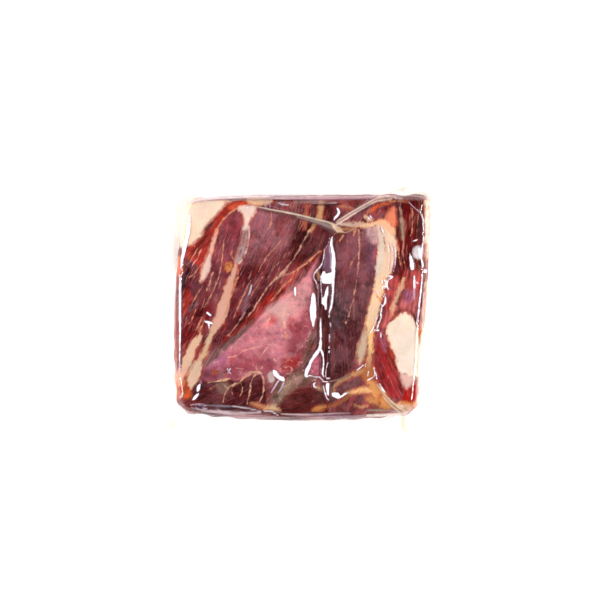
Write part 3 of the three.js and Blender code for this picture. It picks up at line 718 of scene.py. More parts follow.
def keep(piece, name, values):
    """Keeps one value, place or colour for each place of a piece's mesh, for its finish to read."""
    kind, field = {1: ("FLOAT", "value"), 3: ("FLOAT_VECTOR", "vector")}[values[0].size]
    attribute = piece.data.attributes.new(name, kind, "POINT")
    attribute.data.foreach_set(field, np.ascontiguousarray(values, np.float32).ravel())


keep(ham, "tone", tones)
keep(ham, "grain", grain)
keep(ham, "bloom_and_painted_sheen", bloom_and_painted_sheen)
keep(ham, "fat", fat)
keep(ham, "fat_tone", fat_values[:, :3])
keep(ham, "fat_sharp", fat_values[:, 3])
keep(ham, "vein", vein)
keep(ham, "vein_tone", vein_tones)


class Wire:
    """A socket of a finish's nodes. Sums with it add the nodes that work them out."""

    def __init__(self, finish, socket):
        self.finish = finish
        self.socket = socket

    def maths(self, operation, *others):
        """A Math node on this wire and others."""
        sockets = dict(enumerate((self, *others)))
        return self.finish.node("ShaderNodeMath", {"operation": operation}, sockets).out()

    def __add__(self, other):
        return self.maths("ADD", other)

    def __mul__(self, other):
        return self.maths("MULTIPLY", other)

    def __sub__(self, other):
        return self.maths("SUBTRACT", other)

    def __rsub__(self, other):
        return self.finish.node("ShaderNodeMath", {"operation": "SUBTRACT"}, {0: other, 1: self}).out()

    __radd__ = __add__
    __rmul__ = __mul__

    def rise(self, low, high):
        """A smooth step from 0 to 1 between two values."""
        node = self.finish.node(
            "ShaderNodeMapRange",
            {"interpolation_type": "SMOOTHSTEP"},
            {"Value": self, "From Min": low, "From Max": high},
        )
        return node.out()


class Finish:
    """A material and its nodes."""

    def __init__(self, name):
        self.material = bpy.data.materials.new(name)
        self.material.use_nodes = True
        self.tree = self.material.node_tree
        self.tree.nodes.clear()

    def node(self, kind, settings=None, sockets=None):
        """Adds a node, with its settings made before its sockets are set or linked."""
        made = self.tree.nodes.new(kind)
        for name, value in (settings or {}).items():
            setattr(made, name, value)
        for name, value in (sockets or {}).items():
            socket = made.inputs[name]
            if isinstance(value, Wire):
                self.tree.links.new(value.socket, socket)
            else:
                socket.default_value = value
        return Made(self, made)

    def attribute(self, name, output="Vector"):
        """What the mesh keeps under a name."""
        return self.node("ShaderNodeAttribute", {"attribute_name": name}).out(output)

    def mix(self, amount, under, over, blend="MIX"):
        """One colour over another."""
        node = self.node(
            "ShaderNodeMix",
            {"data_type": "RGBA", "blend_type": blend},
            {0: amount, 6: under, 7: over},
        )
        return node.out(2)

    def noise(self, place, scale, detail=2.0, roughness=0.5):
        """A cloudy value from 0 to 1 at a place."""
        node = self.node(
            "ShaderNodeTexNoise",
            {},
            {"Vector": place, "Scale": scale, "Detail": detail, "Roughness": roughness},
        )
        return node.out()

    def surface(self, shader):
        """Makes a shader the material's own."""
        self.node("ShaderNodeOutputMaterial", {}, {"Surface": shader})
        return self.material


class Made:
    """A node that has been added."""

    def __init__(self, finish, made):
        self.finish = finish
        self.made = made

    def out(self, name=0):
        """One of its outputs, the first unless another is named."""
        return Wire(self.finish, self.made.outputs[name])


def ham_finish():
    """Cured meat and fat: streaked along the fibres, marbled, mottled and moist."""
    finish = Finish("cured_ham")
    split = finish.node("ShaderNodeSeparateXYZ", {}, {0: finish.attribute("grain")})
    across, along, streaks = split.out(0), split.out(1), split.out(2)
    place = finish.node("ShaderNodeTexCoord").out("Object")
    height = finish.node("ShaderNodeSeparateXYZ", {}, {0: place}).out(2) * 1000.0
    fat_depth = finish.attribute("fat", "Fac")
    vein_depth = finish.attribute("vein", "Fac")

    def fibres(pitch, length, detail=2.0, shift=0.0):
        """Streaks of a pitch and length in millimetres."""
        vector = finish.node(
            "ShaderNodeCombineXYZ", {},
            {0: across * (1 / pitch), 1: along * (1 / length), 2: height * 0.05 + shift},
        )
        return finish.noise(vector.out(), 1.0, detail)

    def tinted(colour, tint):
        """A colour with each of its parts made stronger or weaker."""
        return finish.node("ShaderNodeVectorMath", {"operation": "MULTIPLY"}, {0: colour, 1: tint}).out()

    def lit(colour, light):
        """A colour made lighter or darker."""
        return finish.node("ShaderNodeVectorMath", {"operation": "SCALE"}, {0: colour, "Scale": light}).out()

    broad = fibres(3.4, 30.0)
    fine = fibres(1.1, 10.0, 3.0, 7.0)
    shreds = fibres(1.0, 4.0, 2.0, 53.0)
    cloud = finish.noise(place, 90.0, 3.0, 0.6)
    blotch = finish.noise(place, 330.0, 2.0, 0.6)
    grit = finish.noise(place, 950.0, 2.0, 0.6)
    patches = cloud.rise(0.42, 0.6)

    light = 1.0 + ((broad - 0.5) * 2.5 + (fine - 0.5) * 2.0) * streaks
    light = light + (cloud - 0.5) * 1.5 + (blotch - 0.5) * 1.0 + (grit - 0.5) * 0.6
    meat = lit(finish.attribute("tone"), light)
    warm = (blotch * 0.5 + broad * 0.5).rise(0.48, 0.62) * 0.5
    meat = finish.mix(warm, meat, tinted(meat, (1.12, 0.72, 0.64)))
    # The mauve bloom is partly a painted soft lilac reflection of the film over the meat.
    speckle = fibres(0.8, 1.8, 2.0, 61.0).rise(0.52, 0.7)
    mauve = finish.attribute("bloom_and_painted_sheen", "Fac") * (patches * 0.2 + speckle * 0.22)
    meat = finish.mix(mauve, meat, dye(190, 140, 154))
    smooth = (0.4 - streaks).rise(0.0, 0.2)
    marbled = finish.noise(place, 160.0, 3.0, 0.6).rise(0.5, 0.62) * smooth * 0.22
    meat = finish.mix(marbled, meat, dye(232, 166, 168))
    web = (finish.noise(place, 100.0, 2.0) - 0.5).maths("ABSOLUTE")
    web = (0.0 - web).rise(-0.012, -0.002) * smooth * (blotch.rise(0.46, 0.56) * 0.5)
    meat = finish.mix(web, meat, dye(240, 184, 174))
    red = fibres(1.2, 13.0, 1.0, 31.0).rise(0.58, 0.72) * streaks * 0.55
    meat = finish.mix(red, meat, dye(160, 36, 32))
    dark = fibres(0.8, 16.0, 1.0, 83.0).rise(0.56, 0.7) * streaks * 0.55
    meat = finish.mix(dark, meat, tinted(meat, (0.5, 0.3, 0.34)))
    pale = fibres(0.6, 9.0, 1.0, 19.0).rise(0.6, 0.74) * streaks * 0.6
    meat = finish.mix(pale, meat, dye(196, 122, 122))
    ridge = (fibres(5.0, 60.0, 2.0, 43.0) - 0.5).maths("ABSOLUTE")
    threads = (0.0 - ridge).rise(-0.014, -0.002) * shreds.rise(0.4, 0.56) * patches * streaks * 0.7
    meat = finish.mix(threads, meat, dye(220, 154, 122))

    fringe = fat_depth + (shreds - 0.5) * 2.6 + (blotch - 0.5) * 1.8 + (grit - 0.5) * 1.2
    meat = finish.mix(fringe.rise(-1.6, -0.3) * (patches * 0.5 + 0.15), meat, dye(192, 74, 46))
    fat_cover = (fringe * finish.attribute("fat_sharp", "Fac")).rise(-0.6, 0.6)
    fat_light = 1.0 + (cloud - 0.5) * 0.4 + (broad - 0.5) * 0.3 + (grit - 0.5) * 0.2
    fat_tone = lit(finish.attribute("fat_tone"), fat_light)
    yellowed = finish.noise(place, 70.0, 2.0).rise(0.46, 0.6)
    fat_tone = finish.mix(yellowed * 0.5, fat_tone, tinted(fat_tone, (1.02, 0.97, 0.84)))
    rosy = (fine * 0.5 + broad * 0.5).rise(0.5, 0.62)
    fat_tone = finish.mix(rosy * 0.4, fat_tone, tinted(fat_tone, (1.0, 0.89, 0.85)))
    rust = (1.0 - fringe.rise(0.1, 1.6)) * (patches * 0.45)
    fat_tone = finish.mix(rust, fat_tone, tinted(fat_tone, (0.98, 0.76, 0.62)))
    flesh = finish.mix(fat_cover, meat, fat_tone)
    vein_edge = vein_depth + (grit - 0.5) * 0.6 + (blotch - 0.5) * 0.9
    beads = (blotch * 0.6 + shreds * 0.4).rise(0.4, 0.58) * 0.55 + 0.4
    vein_cover = vein_edge.rise(-0.25, 0.25) * beads
    vein_tone = lit(finish.attribute("vein_tone"), 1.0 + (shreds - 0.5) * 1.6)
    vein_tone = finish.mix(0.3, vein_tone, dye(236, 188, 160))
    flesh = finish.mix(vein_cover, flesh, vein_tone)

    relief = (fine - 0.5) * streaks * 0.5 + fat_cover * 0.1 + (grit - 0.5) * 0.25
    bump = finish.node(
        "ShaderNodeBump", {}, {"Strength": 0.35, "Distance": 0.0004, "Height": relief}
    )
    shader = finish.node(
        "ShaderNodeBsdfPrincipled", {},
        {
            "Base Color": flesh,
            "Roughness": 0.5 - fat_cover * 0.08,
            "Specular IOR Level": 0.1,
            "Subsurface Weight": 0.12,
            "Subsurface Radius": (1.0, 0.4, 0.25),
            "Subsurface Scale": 0.0015,
            "Normal": bump.out(),
        },
    )
    return finish.surface(shader.out())


ham.data.materials.clear()
ham.data.materials.append(ham_finish())
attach(ham, "root")
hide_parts("vacuum_pack")


# THE FILM
# Clear laminated bag film, drawn tight on to the block by the vacuum. Where it is slack it stands up
# in creases and pleats, and cloudy fat has got into some of them. The glints on the creases are
# painted white, and painted highlights, reflections and shade lie on the film among its clouds.

# The pleat that runs across the top in a shallow V, and its foot at the lower right: height, and line
# with widths.
FOLDS = [
    (0.6, [(-30, 58, 1), (-20, 56.2, 1.2), (-10, 54.2, 1.4), (0, 52, 1.5), (10, 49.6, 1.6), (19, 47.2, 2)]),
    (0.9, [(19, 47.2, 2), (25, 51, 2), (30, 54, 2), (38, 58.5, 2), (44, 61.4, 2), (52, 62.6, 2)]),
    (0.4, [(44, -46, 0.8), (48, -52, 1.4), (52, -56, 2), (57, -60, 2)]),
]

# Painted glints: creases whose crests are painted pure white, with a little glow and a painted lilac halo
# round them: line with widths, or outline.
PAINTED_GLINTS = [
    # Along the left edge.
    [(-65.1, 53, 0.4), (-65.2, 50, 1.6), (-65.7, 45, 2.2), (-67.2, 37, 2.2), (-69.2, 28, 1.4),
     (-69.9, 22, 0.8)],
    [(-70.4, 18, 0.6), (-70.6, 10, 1.1), (-70.6, -2, 1.2), (-70.6, -13, 1), (-70.7, -24, 0.7),
     (-70.9, -33, 0.4), (-71.3, -42, 0.2)],
    [(-69, -50.5, 0.8), (-70.5, -53.3, 0.5)],
    [(-56, -9, 0.8), (-54, -9.5, 1.3), (-51.7, -10.3, 0.6)],
    [(-54.2, -9.6, 1.2), (-54, -11.5, 0.9), (-53.9, -13, 0.3)],
    [(-55, -4, 1.1), (-53, -5.4, 0.9)],
    [(-59.2, -45.6, 1), (-59.9, -47.4, 1.9), (-60.6, -49.4, 0.9)],
    [(-60.2, -51, 1), (-61.6, -52.6, 1.9), (-63.2, -54.2, 0.9)],
    [(-43.4, -36.2, 0.2), (-42.4, -38.2, 0.5), (-41, -39.4, 0.2)],
    [(-41.6, -36.4, 0.3), (-43.2, -39.2, 0.2)],
    [(-17, -37), (-15, -37.5), (-13, -40), (-10.5, -41), (-10, -43), (-12, -43.5), (-14.5, -42),
     (-16.5, -40)],
    [(-3.9, 10.6, 0.9), (-4, 8.4, 1.4), (-3.9, 6.3, 0.7)],
    # Both sides of the sunk channel, and the dents in it.
    [(20.5, 56.5, 0.7), (21.4, 54.5, 1.4), (20.9, 52.8, 1.6), (19.4, 51.2, 1.1), (18.5, 49.8, 0.4)],
    [(17.4, 40.2, 0.8), (16.6, 38.8, 0.8)],
    [(15.9, 37.6, 0.8), (15.2, 36.4, 0.7)],
    [(14.6, 35.4, 0.7), (13.9, 34.2, 0.8)],
    [(13.1, 33.6, 0.6), (13, 30, 0.9), (12.1, 26.6, 0.8), (9.5, 22.2, 0.5), (7.1, 19.3, 0.4),
     (6.4, 16.9, 0.5), (6.9, 15, 0.3), (7.8, 13.5, 0.2), (8.3, 10.1, 0.2)],
    [(18.2, 40, 0.9), (17.9, 36, 1.4), (18.5, 30, 1.6), (18.6, 25, 2.1), (18.4, 20, 1.9), (18.2, 14, 1.4),
     (18.2, 8, 1), (17.5, 0, 1), (16.6, -3, 0.7), (16.4, -6.3, 0.4)],
    [(16.9, -9.6, 0.5), (17.2, -12, 0.5)],
    [(16.6, -16.5, 0.4), (16.5, -21, 0.5)],
    [(16.4, -23.6, 0.4), (16.4, -24.4, 0.4)],
    [(16.4, -26, 0.4), (16.3, -26.8, 0.4)],
    [(10, 17.3, 0.6), (10.1, 12.5, 0.5), (10.4, 7.7, 0.4), (10.9, 4.3, 0.6), (10.7, 1.4, 0.4)],
    [(10.3, 18), (11.8, 20), (14, 20), (14.6, 18.8), (17, 19.3), (18.2, 20), (18.2, 13.4), (11.2, 13.4),
     (10.4, 15)],
    [(15.6, 12), (14.4, 9), (13.2, 6), (11, 4.6), (11, 1.6), (12.5, 0), (14, -2), (15, -1.6), (15.2, 4),
     (16, 10)],
    [(6, 8), (6.9, 7), (7.6, 2), (7.9, -2), (7.7, -6), (7, -9), (6.4, -12), (5.6, -10), (4.6, -6),
     (4.4, -2), (5, 3), (5.5, 6.6)],
    [(10, -7, 0.5), (10, -13, 0.8), (10, -20, 1), (9.7, -24, 1.7), (9, -25.5, 1.6), (7, -29, 1.7),
     (5, -32, 1.5), (4, -35, 1.8), (2.6, -38, 2.2), (2.2, -40.4, 1.4)],
    [(2.6, -41, 0.8), (4.5, -40.2, 0.5), (7.5, -41, 0.5), (9.5, -41, 0.7), (11.5, -43, 0.4)],
    [(10, -25, 1.2), (11.6, -29, 1.3), (12, -32, 1.3), (11.5, -36, 1.3), (11.1, -39, 1),
     (12, -40.6, 0.5)],
    [(15.7, -33, 0.4), (14.8, -35.4, 0.5)],
    [(14.4, -36, 0.7), (13.5, -38.8, 0.9), (13.4, -40.2, 0.8), (15, -41.3, 0.7), (16.6, -41.3, 0.5)],
    [(11.4, -43.4, 0.7), (15, -43.4, 0.9)],
    [(7.6, -44.4, 0.6), (6.6, -45.4, 0.8), (6.9, -47, 0.7), (8, -47.4, 0.5)],
    [(13.3, -45.5), (16.2, -45), (16.3, -48), (15.5, -52), (14, -51), (13.2, -48)],
    [(11.5, -46.5, 0.5), (12.3, -50, 0.6), (14, -53.5, 0.7), (16, -54.5, 0.5)],
    [(18, -50.5), (21, -50), (22.5, -52), (24, -50.8), (27, -49.7), (24, -52.3), (21, -53.8),
     (19.5, -53), (18.3, -52.5)],
    # The crinkled film over the right seam.
    [(38, 51.6, 0.8), (39, 50.6, 0.9)],
    [(39.4, 52.2, 0.6), (40.4, 51, 0.6)],
    [(46, 46, 0.7), (46.8, 44, 0.7), (47.5, 42, 0.4)],
    [(49.6, 38, 0.2), (50.4, 33, 0.6), (50.6, 27, 0.5), (50, 21, 0.3)],
    [(51.8, 36, 0.2), (52.6, 31, 0.4), (52.4, 25, 0.6), (51.6, 20, 0.2)],
    [(53.8, 35, 0.4), (54.3, 30, 0.6), (53.9, 24, 0.5), (53, 20, 0.2)],
    [(50.2, 17.4, 0.5), (52.2, 16.9, 0.8), (51.2, 15.9, 0.7), (50, 15, 0.6), (49.3, 12.5, 0.6),
     (49.5, 10.4, 0.8), (50.2, 10.1, 0.5), (49.5, 9.2, 0.4)],
    [(48.8, 15.4, 0.4), (48.6, 11.1, 0.6), (47.6, 10.1, 0.5)],
    [(46.6, 15.2, 0.8), (46.6, 13.2, 0.8)],
    [(42.3, 8.7, 0.4), (44.9, 7.2, 0.7)],
    [(47.6, 7.7, 0.6), (48.3, 5.3, 0.7), (48.3, 2.4, 0.8), (47.1, 0, 0.7), (45.9, 0.7, 0.4)],
    [(46.6, 0, 0.7), (45.7, -3.9, 0.8), (45.9, -6.8, 0.7), (44.7, -9.7, 0.9), (43.7, -13, 0.8)],
    [(43.7, -6.8, 0.4), (42.5, -9.7, 0.5), (41.1, -13, 0.6), (39.4, -15.6, 0.7)],
    [(42, -14, 0.5), (44.2, -14, 0.8)],
    [(45.7, -16, 0.8), (45.7, -18, 0.5)],
    [(32, -37, 0.5), (35.5, -34.3, 0.7)],
    [(38.5, -38, 0.5), (38, -40.5, 0.5)],
    [(41.8, -36, 0.5), (42.2, -40, 0.6), (40, -42, 0.6), (38, -43, 0.5)],
    [(42.8, -39, 0.5), (43.3, -42, 0.6)],
    [(45, -45, 0.5), (47, -48.5, 0.7), (48.2, -50, 0.4)],
    # Along the right edge.
    [(62.2, 30.6), (63.4, 29), (64.6, 25.4), (65, 21.4), (63.6, 20.8), (62.6, 23)],
    [(65, 17.4, 0.9), (65, 14, 1.3), (65, 10.5, 0.9)],
    [(66.4, 13.8, 0.7), (67, 13.2, 0.7)],
    [(67.2, 33.4), (69, 33), (69.2, 27.4), (67.8, 28)],
    [(64.4, 37.6, 0.5), (66.6, 38.4, 0.6)],
    [(62, 60, 0.2), (65, 57, 0.3), (68, 54.5, 0.5), (69.8, 51, 0.6), (70.3, 47, 0.6), (70.5, 43, 0.5),
     (70.2, 38, 0.5), (69.7, 34, 0.6), (70.5, 30, 0.4)],
    [(69, 27, 0.9), (69.9, 24.1, 1), (69.7, 22.2, 0.8)],
    [(70.4, 21.5), (71.9, 21), (71.8, 19.3), (70.4, 19.4)],
    [(69.5, 18.3, 0.7), (69.2, 12.5, 0.8), (68, 2.9, 0.8), (67.3, -4.3, 0.8), (66.3, -10.5, 0.5)],
]

# Cloudy film, and painted highlights, reflections and shade on the film: tone, how thick the cloud is,
# softness, and outline or line with widths.
CLOUDS_AND_PAINTED_LIGHT = [
    # The pleat with a painted shadow at its foot and under its right arm and painted highlights along its
    # crest, and the gathered knot where its arms meet.
    ((120, 80, 84), 0.6, 1.0, [(-26, 55.8, 0.8), (-10, 52.8, 1), (4, 49.4, 1.4), (14, 45.8, 3),
                               (18, 43.6, 2)]),
    ((228, 204, 184), 0.8, 0.35, [(-28, 57.8, 0.3), (-22, 56.6, 0.6), (-10, 54.3, 0.9), (-3, 52.9, 1),
                                  (8, 50.2, 0.9), (19, 47.6, 1)]),
    ((164, 138, 132), 0.8, 0.4, [(-3, 51.7, 0.5), (8, 48.8, 1.3), (14, 47, 2), (19, 45.6, 2.2)]),
    ((234, 192, 160), 0.8, 0.6, [(17.6, 47.6, 1.4), (20.4, 45.6, 3.2), (22.6, 43.6, 2.2), (24, 42.8, 0.8)]),
    ((216, 180, 168), 0.8, 0.6, [(20.4, 48.8, 0.8), (24, 47.8, 2), (30, 47.6, 2), (35, 47.8, 0.8)]),
    ((190, 122, 88), 0.75, 0.5, [(22.6, 45.4, 0.8), (26, 44.6, 2.2), (30.4, 44.8, 0.8)]),
    ((246, 222, 196), 0.8, 0.3, [(18, 47, 0.5), (20, 44.6, 0.7), (21, 42.4, 0.4)]),
    ((234, 200, 170), 0.7, 0.3, [(22, 48.4, 0.5), (27, 46.6, 0.6), (31, 45.6, 0.4)]),
    ((112, 62, 52), 0.7, 0.4, [(29, 48.5, 1), (29.8, 48, 1)]),
    ((112, 62, 52), 0.6, 0.4, [(24.2, 46.2, 0.9), (25, 45.8, 0.9)]),
    ((206, 164, 130), 0.7, 0.3, [(18.5, 42, 0.6), (22, 42.5, 0.7), (26, 42.6, 0.7), (31, 45.2, 0.5)]),
    ((216, 170, 158), 0.65, 0.5, [(20, 48.5, 1.2), (25, 51, 1.5), (30, 54, 1.7), (38, 58.5, 1.8),
                                  (43, 61, 1.8), (47, 62.3, 1.6), (52, 62.6, 1.4), (58, 62.2, 1)]),
    ((240, 212, 194), 0.85, 0.3, [(20, 47.9, 0.5), (25, 50.2, 0.6), (30, 53.2, 0.6), (38, 57.7, 0.6),
                                  (44, 60.4, 0.6), (52, 61.6, 0.5)]),
    ((250, 226, 210), 0.8, 0.3, [(21, 49.6, 0.4), (30, 54.9, 0.5), (43, 61.8, 0.5), (50, 63, 0.4)]),
    ((96, 52, 70), 0.6, 0.6, [(32, 54, 0.8), (38, 57.2, 1.6), (42, 59, 0.8)]),
    # The channel: painted lilac reflections on its film, darker film between them, pinkish tails of its
    # glints painted on, and a grey cord at its foot.
    ((128, 88, 108), 0.75, 0.5, [(13.8, 33), (17.4, 37), (17.6, 20), (13.6, 20), (12.8, 26)]),
    ((184, 154, 178), 0.7, 0.3, [(17.2, 34, 0.7), (17.2, 22, 0.7)]),
    ((150, 120, 146), 0.6, 0.4, [(13.6, 30, 0.8), (13.2, 24, 1), (11.6, 21.4, 1)]),
    ((192, 130, 104), 0.7, 0.5, [(8.2, 20.4, 1.4), (9, 17.6, 1.6), (8.8, 14.8, 0.8)]),
    ((118, 66, 78), 0.5, 0.6, [(11.4, 13), (14.6, 12.6), (14, 9), (12.4, 5.6), (11.2, 6)]),
    ((120, 90, 105), 0.6, 0.4, [(16.8, 12, 1.1), (16.8, 4, 1.1), (16.4, 0, 0.7)]),
    ((204, 154, 164), 0.6, 0.3, [(8.8, 12.5, 0.5), (8.8, 6, 0.5), (8.9, 0, 0.3)]),
    ((216, 150, 170), 0.7, 0.5, [(6.7, -8, 1.4), (6.3, -13, 0.6)]),
    ((190, 118, 90), 0.6, 0.4, [(12, -13, 0.5), (12.7, -26, 0.5)]),
    ((152, 122, 112), 0.8, 0.3, [(15, -43.4, 0.9), (18, -43.2, 0.9), (22, -42.3, 0.9), (28, -40, 0.7)]),
    # The fatty film that shines through at the outline.
    ((226, 138, 84), 0.6, 0.5, [(-72.6, 28, 0.8), (-73.2, 20, 1.2), (-73.4, 12, 0.8)]),
    ((168, 44, 20), 0.75, 0.5, [(-73, 14, 0.8), (-73.4, 2, 1.4), (-73.4, -14, 1.2), (-73, -28, 0.6)]),
    ((222, 130, 80), 0.6, 0.5, [(-73, -26, 0.6), (-72.8, -40, 0.9), (-72.6, -50, 1)]),
    ((212, 132, 104), 0.6, 0.4, [(72, 36, 0.6), (72, 20, 1), (71.4, 0, 1), (70.4, -12, 0.6)]),
    # Painted reflections and highlights on the face: lilac smears, a soft pale sheen on the pale muscle, and
    # pale tails and lines beside the glints.
    ((238, 224, 240), 0.75, 0.4, [(-29.4, 12.2, 0.6), (-30.1, 8.6, 1), (-31.1, 6.5, 0.4)]),
    ((172, 130, 150), 0.4, 0.8, [(-31.4, 6, 1.2), (-33, 0, 2), (-34.7, -7, 0.8)]),
    ((232, 214, 232), 0.8, 0.4, [(-13.5, -43, 0.9), (-16, -47, 0.9), (-18, -50.3, 0.4)]),
    ((232, 214, 232), 0.7, 0.4, [(-10.5, -43.5, 0.8), (-12, -47.5, 0.8), (-14, -50.5, 0.3)]),
    ((230, 206, 196), 0.6, 0.7, [(-20, -39.4), (-16.6, -38), (-16, -43.6), (-19, -44.4)]),
    ((222, 196, 214), 0.5, 0.6, [(-59, -43.4, 0.6), (-58.4, -44.8, 0.8)]),
    ((248, 214, 206), 0.35, 2.6, [(-20, -1.6), (-14, 1.6), (-8.6, 3), (-7.4, -3), (-10.4, -8), (-16, -5.6)]),
    ((236, 230, 236), 0.6, 0.8, [(64.4, 29.6), (65, 34), (68, 35), (69.4, 32), (68.6, 27.6), (66, 27.8)]),
    ((236, 192, 216), 0.7, 0.4, [(65, 11, 1), (65, 7, 1), (65, 3.6, 0.5)]),
    ((236, 190, 196), 0.8, 0.3, [(70.6, 8, 0.7), (69.6, -1.9, 0.8), (68.6, -11.5, 0.8)]),
    ((255, 250, 224), 0.85, 0.4, [(66.4, -13, 0.8), (66.3, -28, 1.4), (66.3, -41, 1)]),
    # Along the upper edge: painted highlights and lilac reflections on the film over the rounded edge, and
    # painted shade in the dark lines under them.
    ((196, 180, 206), 0.7, 0.4, [(-21.6, 61, 0.9), (-21, 56.8, 0.7)]),
    ((196, 180, 206), 0.6, 0.4, [(-18.8, 60.6, 0.9), (-18.6, 57.4, 0.7)]),
    ((252, 228, 236), 0.85, 0.3, [(-14, 59.4, 0.6), (-11, 59, 1), (-8, 58.6, 0.5)]),
    ((226, 192, 192), 0.65, 0.4, [(-5, 60, 0.5), (8, 60.2, 0.8), (20, 60, 0.5)]),
    ((62, 20, 26), 0.75, 0.4, [(6, 58.9, 0.6), (14, 59, 1), (23, 59.2, 0.6)]),
    ((84, 34, 44), 0.6, 0.3, [(-54, 61.6, 0.7), (-20, 61.7, 0.6), (5, 61.1, 0.7), (22, 61.2, 0.5)]),
    ((200, 142, 156), 0.7, 0.5, [(-22, 62.8, 1), (-5, 62.7, 1.6), (10, 62.6, 2), (30, 62.6, 1.6),
                                 (44, 63.2, 1)]),
    ((240, 212, 214), 0.7, 0.5, [(-64, 60.4, 1.4), (-56, 62, 1.4), (-40, 63, 1.2), (-20, 63.6, 1)]),
    # Along the lower edge: the film's folds over the rounded edge, with painted pale highlights on them and
    # painted shade in the dark lines between, then the pleat's foot at the lower right.
    ((96, 62, 84), 0.75, 0.4, [(-63, -58), (-59, -57.4), (-56, -58.4), (-59.6, -59.2)]),
    ((224, 198, 214), 0.75, 0.3, [(-64.4, -57.2, 0.6), (-59, -56.8, 0.7), (-55, -57.8, 0.5)]),
    ((224, 198, 214), 0.75, 0.3, [(-64, -58.8, 0.6), (-59.6, -60, 0.8), (-55, -59.2, 0.5)]),
    ((150, 130, 140), 0.8, 0.4, [(-54, -57.6, 0.8), (-46, -58, 1.3), (-39, -58.2, 0.8)]),
    ((80, 58, 68), 0.75, 0.3, [(-53, -59, 0.7), (-46, -59.4, 0.9), (-38, -59.6, 0.7)]),
    ((222, 192, 198), 0.8, 0.5, [(-58, -60.6, 0.8), (-46, -61.4, 2), (-38, -62, 1.6), (-24, -61.6, 0.8)]),
    ((224, 206, 210), 0.75, 0.3, [(-40, -58, 0.6), (-30, -59.5, 0.8), (-24, -61, 0.6)]),
    ((84, 52, 60), 0.6, 0.4, [(-39, -59.4, 0.7), (-34, -60.2, 1.2), (-29, -60.8, 0.5)]),
    ((246, 236, 238), 0.85, 0.3, [(-22, -61, 0.6), (-18, -61, 0.8), (-14, -63.2, 0.5)]),
    ((242, 206, 210), 0.8, 0.4, [(-12, -62.6, 0.6), (0, -63, 1), (12, -62.9, 0.7)]),
    ((144, 98, 116), 0.8, 0.5, [(7, -63.2, 0.8), (16, -63.7, 1.7), (26, -64, 1.8), (34, -64, 0.9)]),
    ((90, 40, 50), 0.7, 0.3, [(17, -63.2, 0.6), (24, -63.6, 0.7)]),
    ((90, 40, 50), 0.7, 0.3, [(24, -64.3, 0.6), (31, -64.3, 0.6)]),
    ((218, 184, 188), 0.8, 0.3, [(9, -62.2, 0.5), (18, -62.3, 0.8), (28, -62.3, 0.5)]),
    ((182, 152, 136), 0.75, 0.5, [(38, -60.4, 0.9), (45, -60.5, 1.6), (52, -60.4, 0.9)]),
    ((242, 222, 206), 0.8, 0.5, [(38, -63.4, 1.2), (50, -63, 1.6), (60, -62.6, 1.2)]),
    ((190, 50, 36), 0.6, 0.3, [(42, -61.9, 0.5), (58, -61.7, 0.5)]),
    ((116, 62, 46), 0.6, 0.4, [(49.4, -56, 0.7), (56.4, -61, 0.8)]),
    ((222, 178, 140), 0.6, 0.6, [(43.6, -45.4, 0.6), (48, -52, 1.6), (52, -56, 2.2), (57, -60, 2.2),
                                 (60, -62, 1.6)]),
    ((244, 216, 188), 0.8, 0.3, [(44, -45.6, 0.3), (49, -52.2, 0.5), (56, -58.6, 0.6), (62, -62, 0.5)]),
    ((250, 232, 214), 0.8, 0.3, [(47, -52.4, 0.3), (51, -57, 0.5), (57, -61.6, 0.6)]),
    ((248, 206, 168), 0.6, 0.8, [(54, -56.6), (57, -56.6), (63.6, -57.4), (63, -60.4), (58, -59.4)]),
]
# The white painted on the glints, and the lilac painted round them as a halo; the side walls' haze has its
# own tone.
GLINT_TONE = (250, 246, 250)
PAINTED_HALO_TONE = (206, 172, 194)    # round a glint
HAZE_TONE = (224, 164, 166)    # on the side walls
CREST = 0.42           # a crease falls away from its crest over about this far, in millimetres
GLINT_HEIGHT = 0.25    # a glinting crease stands this high
GLINT_SHOULDER = 0.3   # it falls away from this far inside its edge, and a fold from this far
FOLD_SHOULDER = 0.4
CREASE_REACH = 0.7     # the net is finer within this reach of a crease
FACE_EDGE = 40         # creases end at this height
EYE = (-1.2, 3.5, 877) # the layout above is drawn as seen from here, on to the plane of the face
EYE_DROP = 822         # that far above the face
CHANNEL = [(19, 44), (14, 32), (12, 16), (13, 0), (13, -16), (13, -30), (14, -42), (15, -54)]
CHANNEL_HALF = 4.6
BRIDGE = 1.9           # the film spans the channel this far above its floor
CLOUD_FOOT = 30        # the face's clouds thin out down the side wall and end at this height
CLOUD_FADE = 18
HAZE_SIZE = (22, 22, 1.8)      # milky streaks run level along the upper and the lower side wall
HAZE_START = 0.45      # they start where the skin faces that way this squarely, and soon are full
HAZE_RISE = 0.4
HAZE_FOOT = 15         # above this height they grow thicker over so many millimetres
HAZE_FADE = 35
HAZE_THICK = (0.25, 0.5)       # how thick they are below, and how much thicker above


def as_seen(places):
    """Where in the film's layout each place of a skin is seen."""
    eye = np.array(EYE[:2])
    return eye + (places[:, :2] - eye) * (EYE_DROP / (EYE[2] - places[:, 2:]))


crease_shapes = PAINTED_GLINTS + [shape for high, shape in FOLDS]
places = places_of(front_panel)
near_crease = np.max([depth_in(shape, as_seen(places)) for shape in crease_shapes], 0) > -CREASE_REACH
choose(front_panel, near_crease & (places[:, 2] > FACE_EDGE))
bpy.ops.mesh.select_mode(type="FACE")
bpy.ops.mesh.subdivide(number_cuts=1)
bpy.ops.object.mode_set(mode="OBJECT")


